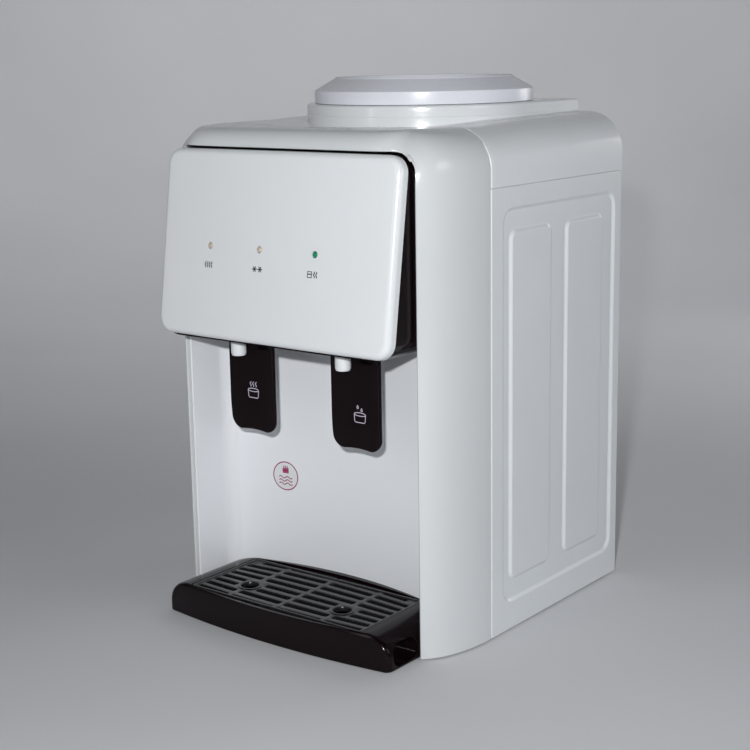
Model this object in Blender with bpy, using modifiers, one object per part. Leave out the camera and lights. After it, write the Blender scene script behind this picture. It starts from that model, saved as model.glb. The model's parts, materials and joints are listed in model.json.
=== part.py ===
"""Countertop water dispenser, hot and cold, for a large bottle stood upside down.

Sizes below are millimetres and are turned into metres as the meshes are made.
+Z is up, +X is to the right for someone facing the taps, and -Y is the front.
The origin lies on the worktop, under the middle of the whole dispenser.
"""

import math

import bmesh
import bpy
from mathutils import Matrix, Vector

MM = 0.001
GAP = 0.3                # clearance between pieces that touch

# The cabinet.
HALF_WIDTH = 150.0       # middle to side panel
SEAM_Y = -51.0           # front moulding meets the side panels and the top cover
BACK_Y = 158.0
FRONT_BOW = 79.0         # the front moulding's middle stands this far before the seam
FLOOR_GAP = 1.5          # underside of the casing above the worktop
TOP_FRONT_Z = 425.0
TOP_BACK_Z = 428.5
PANEL_TOP_Z = 377.0      # side panels end here, the top cover starts
SIDE_ROUND = 34.0        # roll-over from the sides into the top
FRONT_ROUND = 15.0       # roll-over from the front into the top
CORNER_DROP = 10.0       # how much further down it starts at the front corners
WALL = 3.0               # moulded casing
SHEET = 2.5              # side and back panels

# The arched opening in the front moulding, and the bay behind it.
ARCH_HALF = 124.0
ARCH_TOP_Z = 408.6
ARCH_ROUND = 17.5
BAY_HALF = 123.5
BAY_FRONT_Y = -116.0
BAY_BACK_Y = -58.0
BAY_CORNER = 14.0
BAY_BOW_RADIUS = 527.0
BAY_TOP_Z = 384.0

# The control panel leans forward at the bottom.
PANEL_HALF = 124.2
PANEL_TOP = (-129.6, 407.5)      # y and z of the front face's upper edge
PANEL_BOTTOM = (-152.2, 252.4)   # y and z of the front face's lower edge
PANEL_DEPTH = 4.5
LAMP_X = {"heating_lamp": -69.4, "cooling_lamp": -14.3, "warm_lamp": 44.0}
LAMP_DROP = 80.0                 # lamps below the panel's upper edge, along the slope

# Taps, one on each side of the middle.
TAP_X = 57.0
TAP_Y = -126.0
PIPE_Z = 268.0
PIVOT_Y = -104.0
PIVOT_Z = 284.0
LEVER_FRONT_Y = -112.5
LEVER_BOTTOM_Z = 164.5
LEVER_THICK = 5.0
SPOUT_RADIUS = 6.5
SPOUT_TIP_Z = 234.0

# The bottle seat.
SEAT_Y = 65.7
DECK_Z = 439.5
DECK_RADIUS = 105.0
HOLE_RADIUS = 90.0

# The tray and its grate.
TRAY_HALF = 123.2
TRAY_FRONT_Y = -166.0
TRAY_FRONT_BOW_RADIUS = 833.0
TRAY_TOP_Z = 30.0
TRAY_SHOULDER_Z = 10.0
TRAY_SHOULDER = 24.0             # width of the rounded shoulder along each side
TRAY_CORNER = 5.0
GRATE_HALF = 95.0
GRATE_TOP_Z = 29.0
GRATE_THICK = 3.4

# Tanks and the cooler behind them.
COLD_TANK = (-52.0, 2.0, 52.0, 98.0)     # left, near, right and far faces
COLD_FLOOR_Z = 262.0
COLD_RIM_Z = 394.0
COLD_OUTLETS = {"cold": (40.0, 20.0), "feed": (-25.0, 50.0)}
HOT_TANK_X = -60.0
HOT_TANK_Y = 60.0
COOLER_Z = 320.0

# Fittings on the back.
SOCKET_X = 100.0
INLET_Z = 62.0
HEATING_SWITCH_Z = 159.5
COOLING_SWITCH_Z = 136.5
ROCKER_AXIS_Y = 150.0
DRAIN_X = -60.0
DRAIN_Z = 35.0

PARTS = None
HELPERS = None


# ---------------------------------------------------------------- scene and materials

def clear_scene():
    for obj in list(bpy.data.objects):
        bpy.data.objects.remove(obj, do_unlink=True)


def new_collection(name):
    collection = bpy.data.collections.new(name)
    bpy.context.scene.collection.children.link(collection)
    return collection


def material(name, colour, roughness, metallic=0.0):
    look = bpy.data.materials.new(name)
    look.use_nodes = True
    shader = look.node_tree.nodes["Principled BSDF"]
    shader.inputs["Base Color"].default_value = (*colour, 1.0)
    shader.inputs["Roughness"].default_value = roughness
    shader.inputs["Metallic"].default_value = metallic
    look.diffuse_color = (*colour, 1.0)
    return look


def make_materials():
    return {
        "white_gloss": material("white_gloss", (0.84, 0.85, 0.86), 0.18),
        "white_satin": material("white_satin", (0.80, 0.81, 0.84), 0.35),
        "white_steel": material("white_steel", (0.78, 0.79, 0.80), 0.40),
        "black_gloss": material("black_gloss", (0.015, 0.012, 0.013), 0.12),
        "black_matte": material("black_matte", (0.03, 0.03, 0.03), 0.55),
        "grey_plastic": material("grey_plastic", (0.35, 0.36, 0.37), 0.5),
        "steel": material("steel", (0.62, 0.62, 0.60), 0.28, 1.0),
        "aluminium": material("aluminium", (0.75, 0.76, 0.77), 0.35, 1.0),
        "silicone": material("silicone", (0.80, 0.80, 0.76), 0.5),
        "rubber": material("rubber", (0.04, 0.04, 0.04), 0.8),
        "foam": material("foam", (0.90, 0.90, 0.88), 0.9),
        "ceramic": material("ceramic", (0.88, 0.87, 0.83), 0.5),
        "circuit_board": material("circuit_board", (0.05, 0.25, 0.10), 0.4),
        "clear_lens": material("clear_lens", (0.85, 0.82, 0.75), 0.1),
        "green_lens": material("green_lens", (0.02, 0.35, 0.15), 0.1),
        "red_rocker": material("red_rocker", (0.55, 0.03, 0.03), 0.3),
        "green_rocker": material("green_rocker", (0.03, 0.35, 0.10), 0.3),
    }


# ---------------------------------------------------------------- building blocks

def new_object(name, mesh, look=None):
    """A piece when it has a look, otherwise a helper that shapes other pieces."""
    obj = bpy.data.objects.new(name, mesh)
    if look is None:
        HELPERS.objects.link(obj)
        obj.hide_render = True
        obj.display_type = "WIRE"
    else:
        mesh.materials.append(look)
        PARTS.objects.link(obj)
    return obj


def finish_mesh(name, bm):
    mesh = bpy.data.meshes.new(name)
    bm.to_mesh(mesh)
    bm.free()
    mesh.shade_smooth()
    mesh.set_sharp_from_angle(angle=math.radians(35))
    return mesh


def box(name, low, high, look=None):
    size = (Vector(high) - Vector(low)) * MM
    bm = bmesh.new()
    bmesh.ops.create_cube(bm, size=1.0, matrix=Matrix.Diagonal((*size, 1.0)))
    obj = new_object(name, finish_mesh(name, bm), look)
    obj.location = (Vector(high) + Vector(low)) * 0.5 * MM
    return obj


def cylinder(name, start, end, radius, look=None, segments=20, end_radius=None):
    start = Vector(start) * MM
    end = Vector(end) * MM
    bm = bmesh.new()
    bmesh.ops.create_cone(
        bm,
        cap_ends=True,
        segments=segments,
        radius1=radius * MM,
        radius2=(radius if end_radius is None else end_radius) * MM,
        depth=(end - start).length,
    )
    obj = new_object(name, finish_mesh(name, bm), look)
    obj.location = (start + end) * 0.5
    obj.rotation_mode = "QUATERNION"
    obj.rotation_quaternion = (end - start).to_track_quat("Z", "Y")
    return obj


def turned(name, profile, centre, look=None, steps=48, up=(0, 0, 1)):
    """Turn a closed ring of (radius, height) points about an axis through centre."""
    area = sum(
        r0 * z1 - r1 * z0
        for (r0, z0), (r1, z1) in zip(profile, profile[1:] + profile[:1])
    )
    ring = profile[::-1] if area > 0 else profile
    bm = bmesh.new()
    verts = [bm.verts.new((r * MM, 0.0, z * MM)) for r, z in ring]
    for start, end in zip(verts, verts[1:] + verts[:1]):
        bm.edges.new((start, end))
    mesh = bpy.data.meshes.new(name)
    bm.to_mesh(mesh)
    bm.free()
    obj = new_object(name, mesh, look)
    screw = obj.modifiers.new("turn", "SCREW")
    screw.axis = "Z"
    screw.steps = steps
    screw.render_steps = steps
    screw.use_merge_vertices = True
    screw.merge_threshold = 0.00001
    screw.use_smooth_shade = False
    obj.location = Vector(centre) * MM
    obj.rotation_mode = "QUATERNION"
    obj.rotation_quaternion = Vector(up).to_track_quat("Z", "Y")
    return obj


def level(z):
    """Place for an outline drawn as (x, y)."""
    return Matrix.Translation((0, 0, z * MM))


def upright(y):
    """Place for an outline drawn as (x, z)."""
    return Matrix.Translation((0, y * MM, 0)) @ Matrix.Rotation(math.pi / 2, 4, "X")


def sideways(x):
    """Place for an outline drawn as (y, z)."""
    turn = Matrix(((0, 0, 1, 0), (1, 0, 0, 0), (0, 1, 0, 0), (0, 0, 0, 1)))
    return Matrix.Translation((x * MM, 0, 0)) @ turn


def plate(name, outlines, thickness, place, look=None):
    """Extrude flat outlines about their own plane: the first is outside, the rest are holes."""
    curve = bpy.data.curves.new(name, "CURVE")
    curve.dimensions = "2D"
    curve.fill_mode = "BOTH"
    curve.extrude = thickness * MM / 2
    for outline in outlines:
        spline = curve.splines.new("POLY")
        spline.points.add(len(outline) - 1)
        for point, (u, w) in zip(spline.points, outline):
            point.co = (u * MM, w * MM, 0.0, 1.0)
        spline.use_cyclic_u = True
    mesh = mesh_of_curve(name, curve)
    obj = new_object(name, mesh, look)
    obj.matrix_world = place
    return obj


def mesh_of_curve(name, curve):
    guide = bpy.data.objects.new(name + "_guide", curve)
    HELPERS.objects.link(guide)
    graph = bpy.context.evaluated_depsgraph_get()
    mesh = bpy.data.meshes.new_from_object(guide.evaluated_get(graph))
    mesh.materials.clear()
    bpy.data.objects.remove(guide)
    bpy.data.curves.remove(curve)
    bm = bmesh.new()
    bm.from_mesh(mesh)
    bmesh.ops.remove_doubles(bm, verts=bm.verts, dist=0.000002)
    bmesh.ops.recalc_face_normals(bm, faces=bm.faces)
    bm.to_mesh(mesh)
    bm.free()
    mesh.shade_smooth()
    mesh.set_sharp_from_angle(angle=math.radians(35))
    return mesh


def tube(name, points, radius, look, resolution=2):
    """A round bar, wire or hose along a list of points."""
    curve = bpy.data.curves.new(name, "CURVE")
    curve.dimensions = "3D"
    curve.bevel_depth = radius * MM
    curve.bevel_resolution = resolution
    curve.use_fill_caps = True
    spline = curve.splines.new("POLY")
    spline.points.add(len(points) - 1)
    for point, place in zip(spline.points, points):
        point.co = (*(Vector(place) * MM), 1.0)
    return new_object(name, mesh_of_curve(name, curve), look)


def loft(name, rings, look=None, closed=True, caps=(True, True)):
    """Skin over rings of equal length, with flat caps at the ends that ask for one."""
    bm = bmesh.new()
    rows = [[bm.verts.new(Vector(p) * MM) for p in ring] for ring in rings]
    count = len(rows[0])
    for lower, upper in zip(rows, rows[1:]):
        for i in range(count if closed else count - 1):
            j = (i + 1) % count
            bm.faces.new((lower[i], lower[j], upper[j], upper[i]))
    if caps[0]:
        bm.faces.new(rows[0][::-1])
    if caps[1]:
        bm.faces.new(rows[-1])
    return new_object(name, finish_mesh(name, bm), look)


def thicken(obj, thickness):
    solid = obj.modifiers.new("wall", "SOLIDIFY")
    solid.thickness = thickness * MM
    solid.offset = -1.0
    solid.use_even_offset = True
    return obj


def boolean(obj, operation, tools):
    for tool in tools:
        modifier = obj.modifiers.new(operation.lower(), "BOOLEAN")
        modifier.operation = operation
        modifier.solver = "EXACT"
        modifier.object = tool
    return obj


def cut(obj, *tools):
    return boolean(obj, "DIFFERENCE", tools)


def join(obj, *tools):
    return boolean(obj, "UNION", tools)


def arc(centre, radius, start, end, steps):
    """Points on an arc, angles in degrees."""
    angles = [math.radians(start + (end - start) * i / steps) for i in range(steps + 1)]
    return [(centre[0] + radius * math.cos(a), centre[1] + radius * math.sin(a)) for a in angles]


def circle(centre, radius, steps):
    return arc(centre, radius, 0, 360 * (steps - 1) / steps, steps - 1)


def rounded(left, low, right, high, radius, steps=5):
    """A rectangle with round corners."""
    corners = (
        ((right - radius, low + radius), -90),
        ((right - radius, high - radius), 0),
        ((left + radius, high - radius), 90),
        ((left + radius, low + radius), 180),
    )
    points = []
    for centre, start in corners:
        points += arc(centre, radius, start, start + 90, steps)
    return points


def rectangle(left, low, right, high):
    return [(left, low), (right, low), (right, high), (left, high)]


def mirrored(right_half):
    """Close a right half, listed from front to back, with its mirror image."""
    left_half = [(-x, y) for x, y in reversed(right_half) if x > 0.001]
    return right_half + left_half


def smooth_route(stops, between=5):
    """A Catmull-Rom curve through the stops of a hose."""
    stops = [Vector(stop) for stop in stops]
    padded = [2 * stops[0] - stops[1]] + stops + [2 * stops[-1] - stops[-2]]
    route = [stops[0]]
    for a, b, c, d in zip(padded, padded[1:], padded[2:], padded[3:]):
        for step in range(1, between + 1):
            t = step / between
            route.append(0.5 * (
                2 * b + (c - a) * t
                + (2 * a - 5 * b + 4 * c - d) * t ** 2
                + (3 * b - a - 3 * c + d) * t ** 3
            ))
    return route


# ---------------------------------------------------------------- outlines of this dispenser

CORNER_POWER_X = 9.0
CORNER_POWER_Y = 1.9


def front_half_width(y):
    """Half the width of the front moulding at a depth y."""
    share = ((SEAM_Y - y) / FRONT_BOW) ** CORNER_POWER_Y
    return HALF_WIDTH * (1 - share) ** (1 / CORNER_POWER_X)


def front_depth(x):
    """The front face's y at a distance x from the middle."""
    share = (abs(x) / HALF_WIDTH) ** CORNER_POWER_X
    return SEAM_Y - FRONT_BOW * (1 - share) ** (1 / CORNER_POWER_Y)


def front_outline():
    """The front moulding in plan, from the right seam round to the left one."""
    turn_y = -117.0
    side = [turn_y + (SEAM_Y - GAP / 2 - turn_y) * i / 8 for i in range(8, 0, -1)]
    right = [(front_half_width(y), y) for y in side]
    turn_x = front_half_width(turn_y)
    right += [(turn_x * i / 8, front_depth(turn_x * i / 8)) for i in range(8, 0, -1)]
    left = [(-x, y) for x, y in reversed(right)]
    return right + [(0.0, front_depth(0.0))] + left


def bay_half(offset):
    """Right half of the bay wall in plan, front to middle, moved inwards by offset."""
    bow_centre_y = BAY_BACK_Y - BAY_BOW_RADIUS
    corner_x = BAY_HALF - BAY_CORNER
    reach = BAY_BOW_RADIUS - BAY_CORNER
    corner_y = bow_centre_y + math.sqrt(reach ** 2 - corner_x ** 2)
    turn = math.degrees(math.asin(math.sqrt(reach ** 2 - corner_x ** 2) / reach))
    corner = arc((corner_x, corner_y), BAY_CORNER - offset, 0, turn, 5)
    bow = arc((0.0, bow_centre_y), BAY_BOW_RADIUS - offset, turn, 90, 4)
    return [(BAY_HALF - offset, BAY_FRONT_Y)] + corner + bow[1:]


def panel_y(z, depth=0.0):
    """y of the plane that lies depth behind the control panel's front face."""
    slope = (PANEL_TOP[0] - PANEL_BOTTOM[0]) / (PANEL_TOP[1] - PANEL_BOTTOM[1])
    lean = math.hypot(1.0, slope)
    return PANEL_BOTTOM[0] + (z - PANEL_BOTTOM[1]) * slope + depth * lean


def panel_frame():
    """Axes on the panel's front face: x across, y up the slope, z out of the face."""
    up = Vector((0, PANEL_TOP[0] - PANEL_BOTTOM[0], PANEL_TOP[1] - PANEL_BOTTOM[1]))
    up.normalize()
    across = Vector((1, 0, 0))
    out = across.cross(up)
    middle = Vector((
        0,
        (PANEL_TOP[0] + PANEL_BOTTOM[0]) / 2,
        (PANEL_TOP[1] + PANEL_BOTTOM[1]) / 2,
    )) * MM
    turn = Matrix((across, up, out)).transposed().to_4x4()
    return Matrix.Translation(middle) @ turn


def panel_length():
    return math.hypot(PANEL_TOP[0] - PANEL_BOTTOM[0], PANEL_TOP[1] - PANEL_BOTTOM[1])


def grate_outline(inset):
    """The grate in plan: bowed front and back edges, small corner rounds."""
    half = GRATE_HALF - inset
    front = [(half * s, TRAY_FRONT_Y + 3.0 + inset + (half * s) ** 2 / (2 * TRAY_FRONT_BOW_RADIUS))
             for s in (0.0, 0.25, 0.5, 0.75, 0.95)]
    back = [(half * s, BAY_BACK_Y - 6.0 - inset - (half * s) ** 2 / (2 * BAY_BOW_RADIUS))
            for s in (0.95, 0.75, 0.5, 0.25, 0.0)]
    side = [(half, front[-1][1] + 4.0), (half, back[0][1] - 4.0)]
    return mirrored(front + side + back)


# ---------------------------------------------------------------- casing

def edge_round(facing_side):
    """How far the top edge's round reaches in and down, from 0 at the front to 1 at a side."""
    share = min(1.0, facing_side / 0.5)
    reach = FRONT_ROUND + (SIDE_ROUND - FRONT_ROUND) * share * share * (3 - 2 * share)
    return reach, reach + CORNER_DROP * math.sin(math.pi * facing_side) ** 2


def make_front_shell(look):
    outline = front_outline()
    count = len(outline)
    rounds = []
    normals = []
    for i, (x, y) in enumerate(outline):
        before = outline[max(i - 1, 0)]
        after = outline[min(i + 1, count - 1)]
        along = Vector((after[0] - before[0], after[1] - before[1])).normalized()
        normal = Vector((-along.y, along.x))
        if normal.dot(Vector((x, y - SEAM_Y))) < 0:
            normal = -normal
        if i in (0, count - 1):
            normal = Vector((math.copysign(1.0, x), 0.0))
        normals.append(normal)
        rounds.append(edge_round(abs(normal.x)))
    rings = [[(x, y, FLOOR_GAP) for x, y in outline]]
    for step in range(6):
        tilt = math.radians(18 * step)
        ring = []
        for (x, y), normal, (reach, drop) in zip(outline, normals, rounds):
            inset = reach * (1 - math.cos(tilt))
            height = TOP_FRONT_Z - drop * (1 - math.sin(tilt))
            ring.append((x - normal.x * inset, y - normal.y * inset, height))
        rings.append(ring)
    rings = [ring[::-1] for ring in rings]
    shell = loft("front_shell", rings, look, closed=False, caps=(False, True))
    thicken(shell, WALL)
    arch = [(-ARCH_HALF, -10.0), (ARCH_HALF, -10.0)]
    arch += arc((ARCH_HALF - ARCH_ROUND, ARCH_TOP_Z - ARCH_ROUND), ARCH_ROUND, 0, 90, 8)
    arch += arc((ARCH_ROUND - ARCH_HALF, ARCH_TOP_Z - ARCH_ROUND), ARCH_ROUND, 90, 180, 8)
    opening = plate("arch_cutter", [arch], 50.0, upright(-120.0))
    cut(shell, opening)


def make_top_cover(look):
    def section(y, top):
        right = arc((HALF_WIDTH - SIDE_ROUND, top - SIDE_ROUND), SIDE_ROUND, 0, 90, 7)
        right = [(HALF_WIDTH, PANEL_TOP_Z + GAP / 2)] + right
        left = [(-x, z) for x, z in reversed(right)]
        return [(x, y, z) for x, z in (right + left)[::-1]]

    front = section(SEAM_Y + GAP / 2, TOP_FRONT_Z)
    back = section(BACK_Y, TOP_BACK_Z)
    cover = loft("top_cover", [front, back], look, closed=False, caps=(False, True))
    thicken(cover, WALL)

    def deck(name, inset, low, high):
        radius = DECK_RADIUS - inset
        outline = arc((0.0, SEAT_Y), radius, 180, 360, 28)
        outline += [(radius, BACK_Y - inset), (-radius, BACK_Y - inset)]
        return plate(name, [outline], high - low, level((high + low) / 2))

    join(cover, deck("deck_outside", 0.0, 415.0, DECK_Z))
    cut(cover, deck("deck_inside", WALL, 385.0, DECK_Z - WALL))
    cut(cover, cylinder("seat_hole", (0, SEAT_Y, 420), (0, SEAT_Y, 450), HOLE_RADIUS, segments=40))


def make_side_panel(name, side, look):
    inner = side * (HALF_WIDTH - SHEET / 2)
    outline = [
        (SEAM_Y + GAP / 2, FLOOR_GAP),
        (BACK_Y, FLOOR_GAP),
        (BACK_Y, PANEL_TOP_Z - GAP / 2),
        (SEAM_Y + GAP / 2, PANEL_TOP_Z - GAP / 2),
    ]
    panel = plate(name, [outline], SHEET, sideways(inner), look)
    field = rounded(-34.6, 25.0, 147.6, 360.5, 15.0)
    pads = [rounded(-23.0, 43.5, 42.5, 342.0, 9.0), rounded(64.0, 43.5, 128.0, 342.0, 9.0)]
    press = plate(name + "_press", [field] + pads, 2.4, sideways(side * HALF_WIDTH))
    cut(panel, press)


def make_back_panel(look):
    edge = HALF_WIDTH - SHEET - GAP
    outline = [
        (-edge, FLOOR_GAP),
        (edge, FLOOR_GAP),
        (edge, PANEL_TOP_Z - GAP / 2),
        (-edge, PANEL_TOP_Z - GAP / 2),
    ]
    holes = []
    for row in range(-5, 6):
        height = row * 7.0
        half = math.sqrt(40.0 ** 2 - height ** 2)
        middle = COOLER_Z + height
        holes.append(rounded(-half, middle - 1.8, half, middle + 1.8, 1.2, 1))
    for row in range(6):
        middle = 84.0 + row * 12.0
        holes.append(rounded(-108.0, middle - 2.0, -38.0, middle + 2.0, 1.2, 1))
    holes.append(rectangle(SOCKET_X - 18.4, 123.6, SOCKET_X + 18.4, 172.4))
    holes.append(rectangle(SOCKET_X - 14.4, INLET_Z - 11.4, SOCKET_X + 14.4, INLET_Z + 11.4))
    holes.append(circle((DRAIN_X, DRAIN_Z), 9.6, 20))
    plate("back_panel", [outline] + holes, SHEET, upright(BACK_Y - SHEET / 2), look)


def make_base(looks):
    right = [
        (0.0, -50.0), (127.5, -50.0), (127.5, -92.5), (138.5, -92.5),
        (144.0, -70.0), (146.8, -50.0), (146.8, 155.0), (0.0, 155.0),
    ]
    left = [(-x, y) for x, y in reversed(right) if x > 0]
    plate("base_plate", [right + left], 3.0, level(4.5), looks["grey_plastic"])
    spots = {
        "foot_front_left": (-134.5, -84.0),
        "foot_front_right": (134.5, -84.0),
        "foot_rear_left": (-130.0, 138.0),
        "foot_rear_right": (130.0, 138.0),
    }
    for name, (x, y) in spots.items():
        cylinder(name, (x, y, 0.0), (x, y, 2.7), 6.5, looks["rubber"], 24, 7.0)


def make_bay_liner(look):
    bay_side = mirrored(bay_half(0.0))
    rear_side = mirrored(bay_half(-2.0))
    outline = bay_side + rear_side[::-1]
    height = BAY_TOP_Z - FLOOR_GAP
    liner = plate("bay_liner", [outline], height, level(FLOOR_GAP + height / 2), look)
    for side, tag in ((-1, "left"), (1, "right")):
        start = (side * TAP_X, -80.0, PIPE_Z)
        end = (side * TAP_X, -50.0, PIPE_Z)
        cut(liner, cylinder("pipe_hole_" + tag, start, end, 6.0, segments=20))


# ---------------------------------------------------------------- control panel

def make_wedge_housing(look):
    rear_y = -100.0
    half = 123.1
    outline = rounded(-half, 250.0, half, 407.2, 17.0, 6)
    rear = [(x, rear_y, z) for x, z in outline]
    front = [(x, panel_y(z, PANEL_DEPTH + GAP), z) for x, z in outline]
    housing = loft("wedge_housing", [rear, front], look, caps=(False, True))
    thicken(housing, 2.5)
    for side, tag in ((-1, "left"), (1, "right")):
        low = (side * TAP_X - 27.0, -137.0, 245.0)
        high = (side * TAP_X + 27.0, rear_y + 5.0, 256.0)
        cut(housing, box("lever_slot_" + tag, low, high))
    for name, x in LAMP_X.items():
        cut(housing, lamp_hole(name + "_housing_hole", x, PANEL_DEPTH, 11.0))


def lamp_point(x, depth):
    """A point on a lamp's axis, depth behind the panel's front face."""
    local = Vector((x, panel_length() / 2 - LAMP_DROP, -depth)) * MM
    return panel_frame() @ local / MM


def lamp_hole(name, x, start, end):
    return cylinder(name, lamp_point(x, start), lamp_point(x, end), 2.9, segments=20)


def make_fascia(looks):
    length = panel_length()
    outline = rounded(-PANEL_HALF, -length / 2, PANEL_HALF, length / 2, 14.0, 6)
    inset = 1.5
    front = rounded(
        inset - PANEL_HALF, inset - length / 2, PANEL_HALF - inset, length / 2 - inset, 12.5, 6
    )
    rings = [[(x, y, -PANEL_DEPTH) for x, y in outline]]
    rings.append([(x, y, -inset) for x, y in outline])
    rings.append([(x, y, 0.0) for x, y in front])
    panel = loft("fascia_panel", rings, looks["white_gloss"])
    panel.matrix_world = panel_frame()
    for name, x in LAMP_X.items():
        cut(panel, lamp_hole(name + "_panel_hole", x, -2.0, 7.0))
        look = looks["green_lens"] if name == "warm_lamp" else looks["clear_lens"]
        cylinder(name, lamp_point(x, 0.4), lamp_point(x, 11.7), 2.5, look, 20)
    board = rounded(-85.0, -12.0, 60.0, 12.0, 2.0, 2)
    place = panel_frame() @ Matrix.Translation((0, (length / 2 - LAMP_DROP) * MM, -12.8 * MM))
    plate("indicator_board", [board], 1.6, place, looks["circuit_board"])


# ---------------------------------------------------------------- bottle seat

def make_bottle_seat(looks):
    centre = (0.0, SEAT_Y, 0.0)
    collar = [
        (75.0, 462.0), (79.5, 462.0), (97.5, 450.6), (97.5, DECK_Z + GAP),
        (89.4, DECK_Z + GAP), (89.4, 424.0), (87.0, 424.0), (87.0, 437.0),
        (70.0, 434.5), (56.5, 421.0), (34.0, 408.5), (32.5, 405.0), (32.5, 396.0),
        (30.0, 396.0), (30.0, 408.0), (54.0, 423.6), (66.0, 438.0), (72.5, 458.0),
    ]
    turned("bottle_collar", collar, centre, looks["white_satin"], 40)
    gasket = [(32.8, 403.0), (38.8, 403.0), (38.8, 398.0), (32.8, 398.0)]
    turned("collar_gasket", gasket, centre, looks["silicone"], 24)
    guide = [
        (3.2, 417.0), (4.8, 417.0), (8.0, 409.0), (8.0, 402.8), (29.4, 402.8),
        (29.4, 400.3), (8.0, 400.3), (8.0, 380.0), (5.0, 380.0), (5.0, 408.0),
    ]
    turned("water_guide", guide, centre, looks["white_satin"], 18)


# ---------------------------------------------------------------- taps

def make_tap(name, side, looks):
    x = side * TAP_X
    chamber = [
        (3.2, 256.0), (8.5, 256.0), (8.5, 278.0), (2.4, 278.0),
        (2.4, 275.0), (6.5, 275.0), (6.5, 259.0), (3.2, 259.0),
    ]
    body = turned(name + "_tap_body", chamber, (x, TAP_Y, 0), looks["black_matte"], 18)
    pipe_start = TAP_Y + 7.5
    pipe = cylinder(name + "_pipe", (x, pipe_start, PIPE_Z), (x, -45.0, PIPE_Z), 5.0, segments=14)
    lug = box(name + "_lug", (x - 9, PIVOT_Y - 4, PIPE_Z), (x + 9, PIVOT_Y + 4, PIVOT_Z + 4))
    join(body, pipe, lug)
    cut(body, cylinder(name + "_bore", (x, TAP_Y, PIPE_Z), (x, -40.0, PIPE_Z), 3.0, segments=12))

    def along_pivot(part, reach, radius, look=None):
        start = (x - reach, PIVOT_Y, PIVOT_Z)
        end = (x + reach, PIVOT_Y, PIVOT_Z)
        return cylinder(name + part, start, end, radius, look, 16)

    pin_hole = along_pivot("_pin_hole", 20.0, 1.8)
    cut(body, pin_hole)
    along_pivot("_lever_pin", 16.5, 1.5, looks["steel"])

    bore = SPOUT_RADIUS - 1.8
    spout = [
        (SPOUT_RADIUS, 255.7), (SPOUT_RADIUS, SPOUT_TIP_Z + 2.2), (SPOUT_RADIUS - 0.5, SPOUT_TIP_Z + 0.6),
        (SPOUT_RADIUS - 1.0, SPOUT_TIP_Z), (bore, SPOUT_TIP_Z + 0.6), (bore, 255.7),
    ]
    turned(name + "_spout", spout, (x, TAP_Y, 0), looks["white_gloss"], 20)

    stem = cylinder(
        name + "_valve_plunger", (x, TAP_Y, 251.0), (x, TAP_Y, 295.0), 1.9, looks["ceramic"], 12
    )
    disc = cylinder(name + "_disc", (x, TAP_Y, 252.0), (x, TAP_Y, 255.6), 4.3, segments=16)
    cap = cylinder(name + "_cap", (x, TAP_Y, 294.0), (x, TAP_Y, 298.0), 6.0, segments=16)
    join(stem, disc, cap)

    low = 279.2
    high = 292.8
    per_turn = 8
    steps = 36
    coil = []
    for step in range(steps + 1):
        angle = 2 * math.pi * step / per_turn
        height = low + (high - low) * step / steps
        coil.append((x + 4.0 * math.cos(angle), TAP_Y + 4.0 * math.sin(angle), height))
    tube(name + "_return_spring", coil, 0.5, looks["steel"], 1)

    make_lever(name, x, pin_hole, looks["black_gloss"])


def make_lever(name, x, pin_hole, look):
    """Paddle with two arms that carry it on the pin and a bar that presses the plunger."""
    half = 25.0
    top = 255.0
    outline = [(x - half, top), (x - half, LEVER_BOTTOM_Z + 11)]
    outline += arc((x - half + 11, LEVER_BOTTOM_Z + 11), 11, 180, 270, 5)[1:]
    outline += arc((x + half - 11, LEVER_BOTTOM_Z + 11), 11, 270, 360, 5)
    outline += [(x + half, top)]
    middle = upright(LEVER_FRONT_Y + LEVER_THICK / 2)
    lever = plate(name + "_lever", [outline], LEVER_THICK, middle, look)
    front = LEVER_FRONT_Y + 1.0
    bent_arm = [
        (front, 240.0), (-100.0, 240.0), (-100.0, 302.0), (-130.0, 302.0),
        (-130.0, 299.0), (-120.0, 296.0), (front, 292.0),
    ]
    for side in (-1, 1):
        tag = "_left" if side < 0 else "_right"
        join(lever, plate(name + "_arm" + tag, [bent_arm], 4.0, sideways(x + side * 13.0)))
    join(lever, box(name + "_bar", (x - 13, -130.0, 299.0), (x + 13, -122.0, 302.0)))
    cut(lever, pin_hole)


# ---------------------------------------------------------------- water and heat

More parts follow.
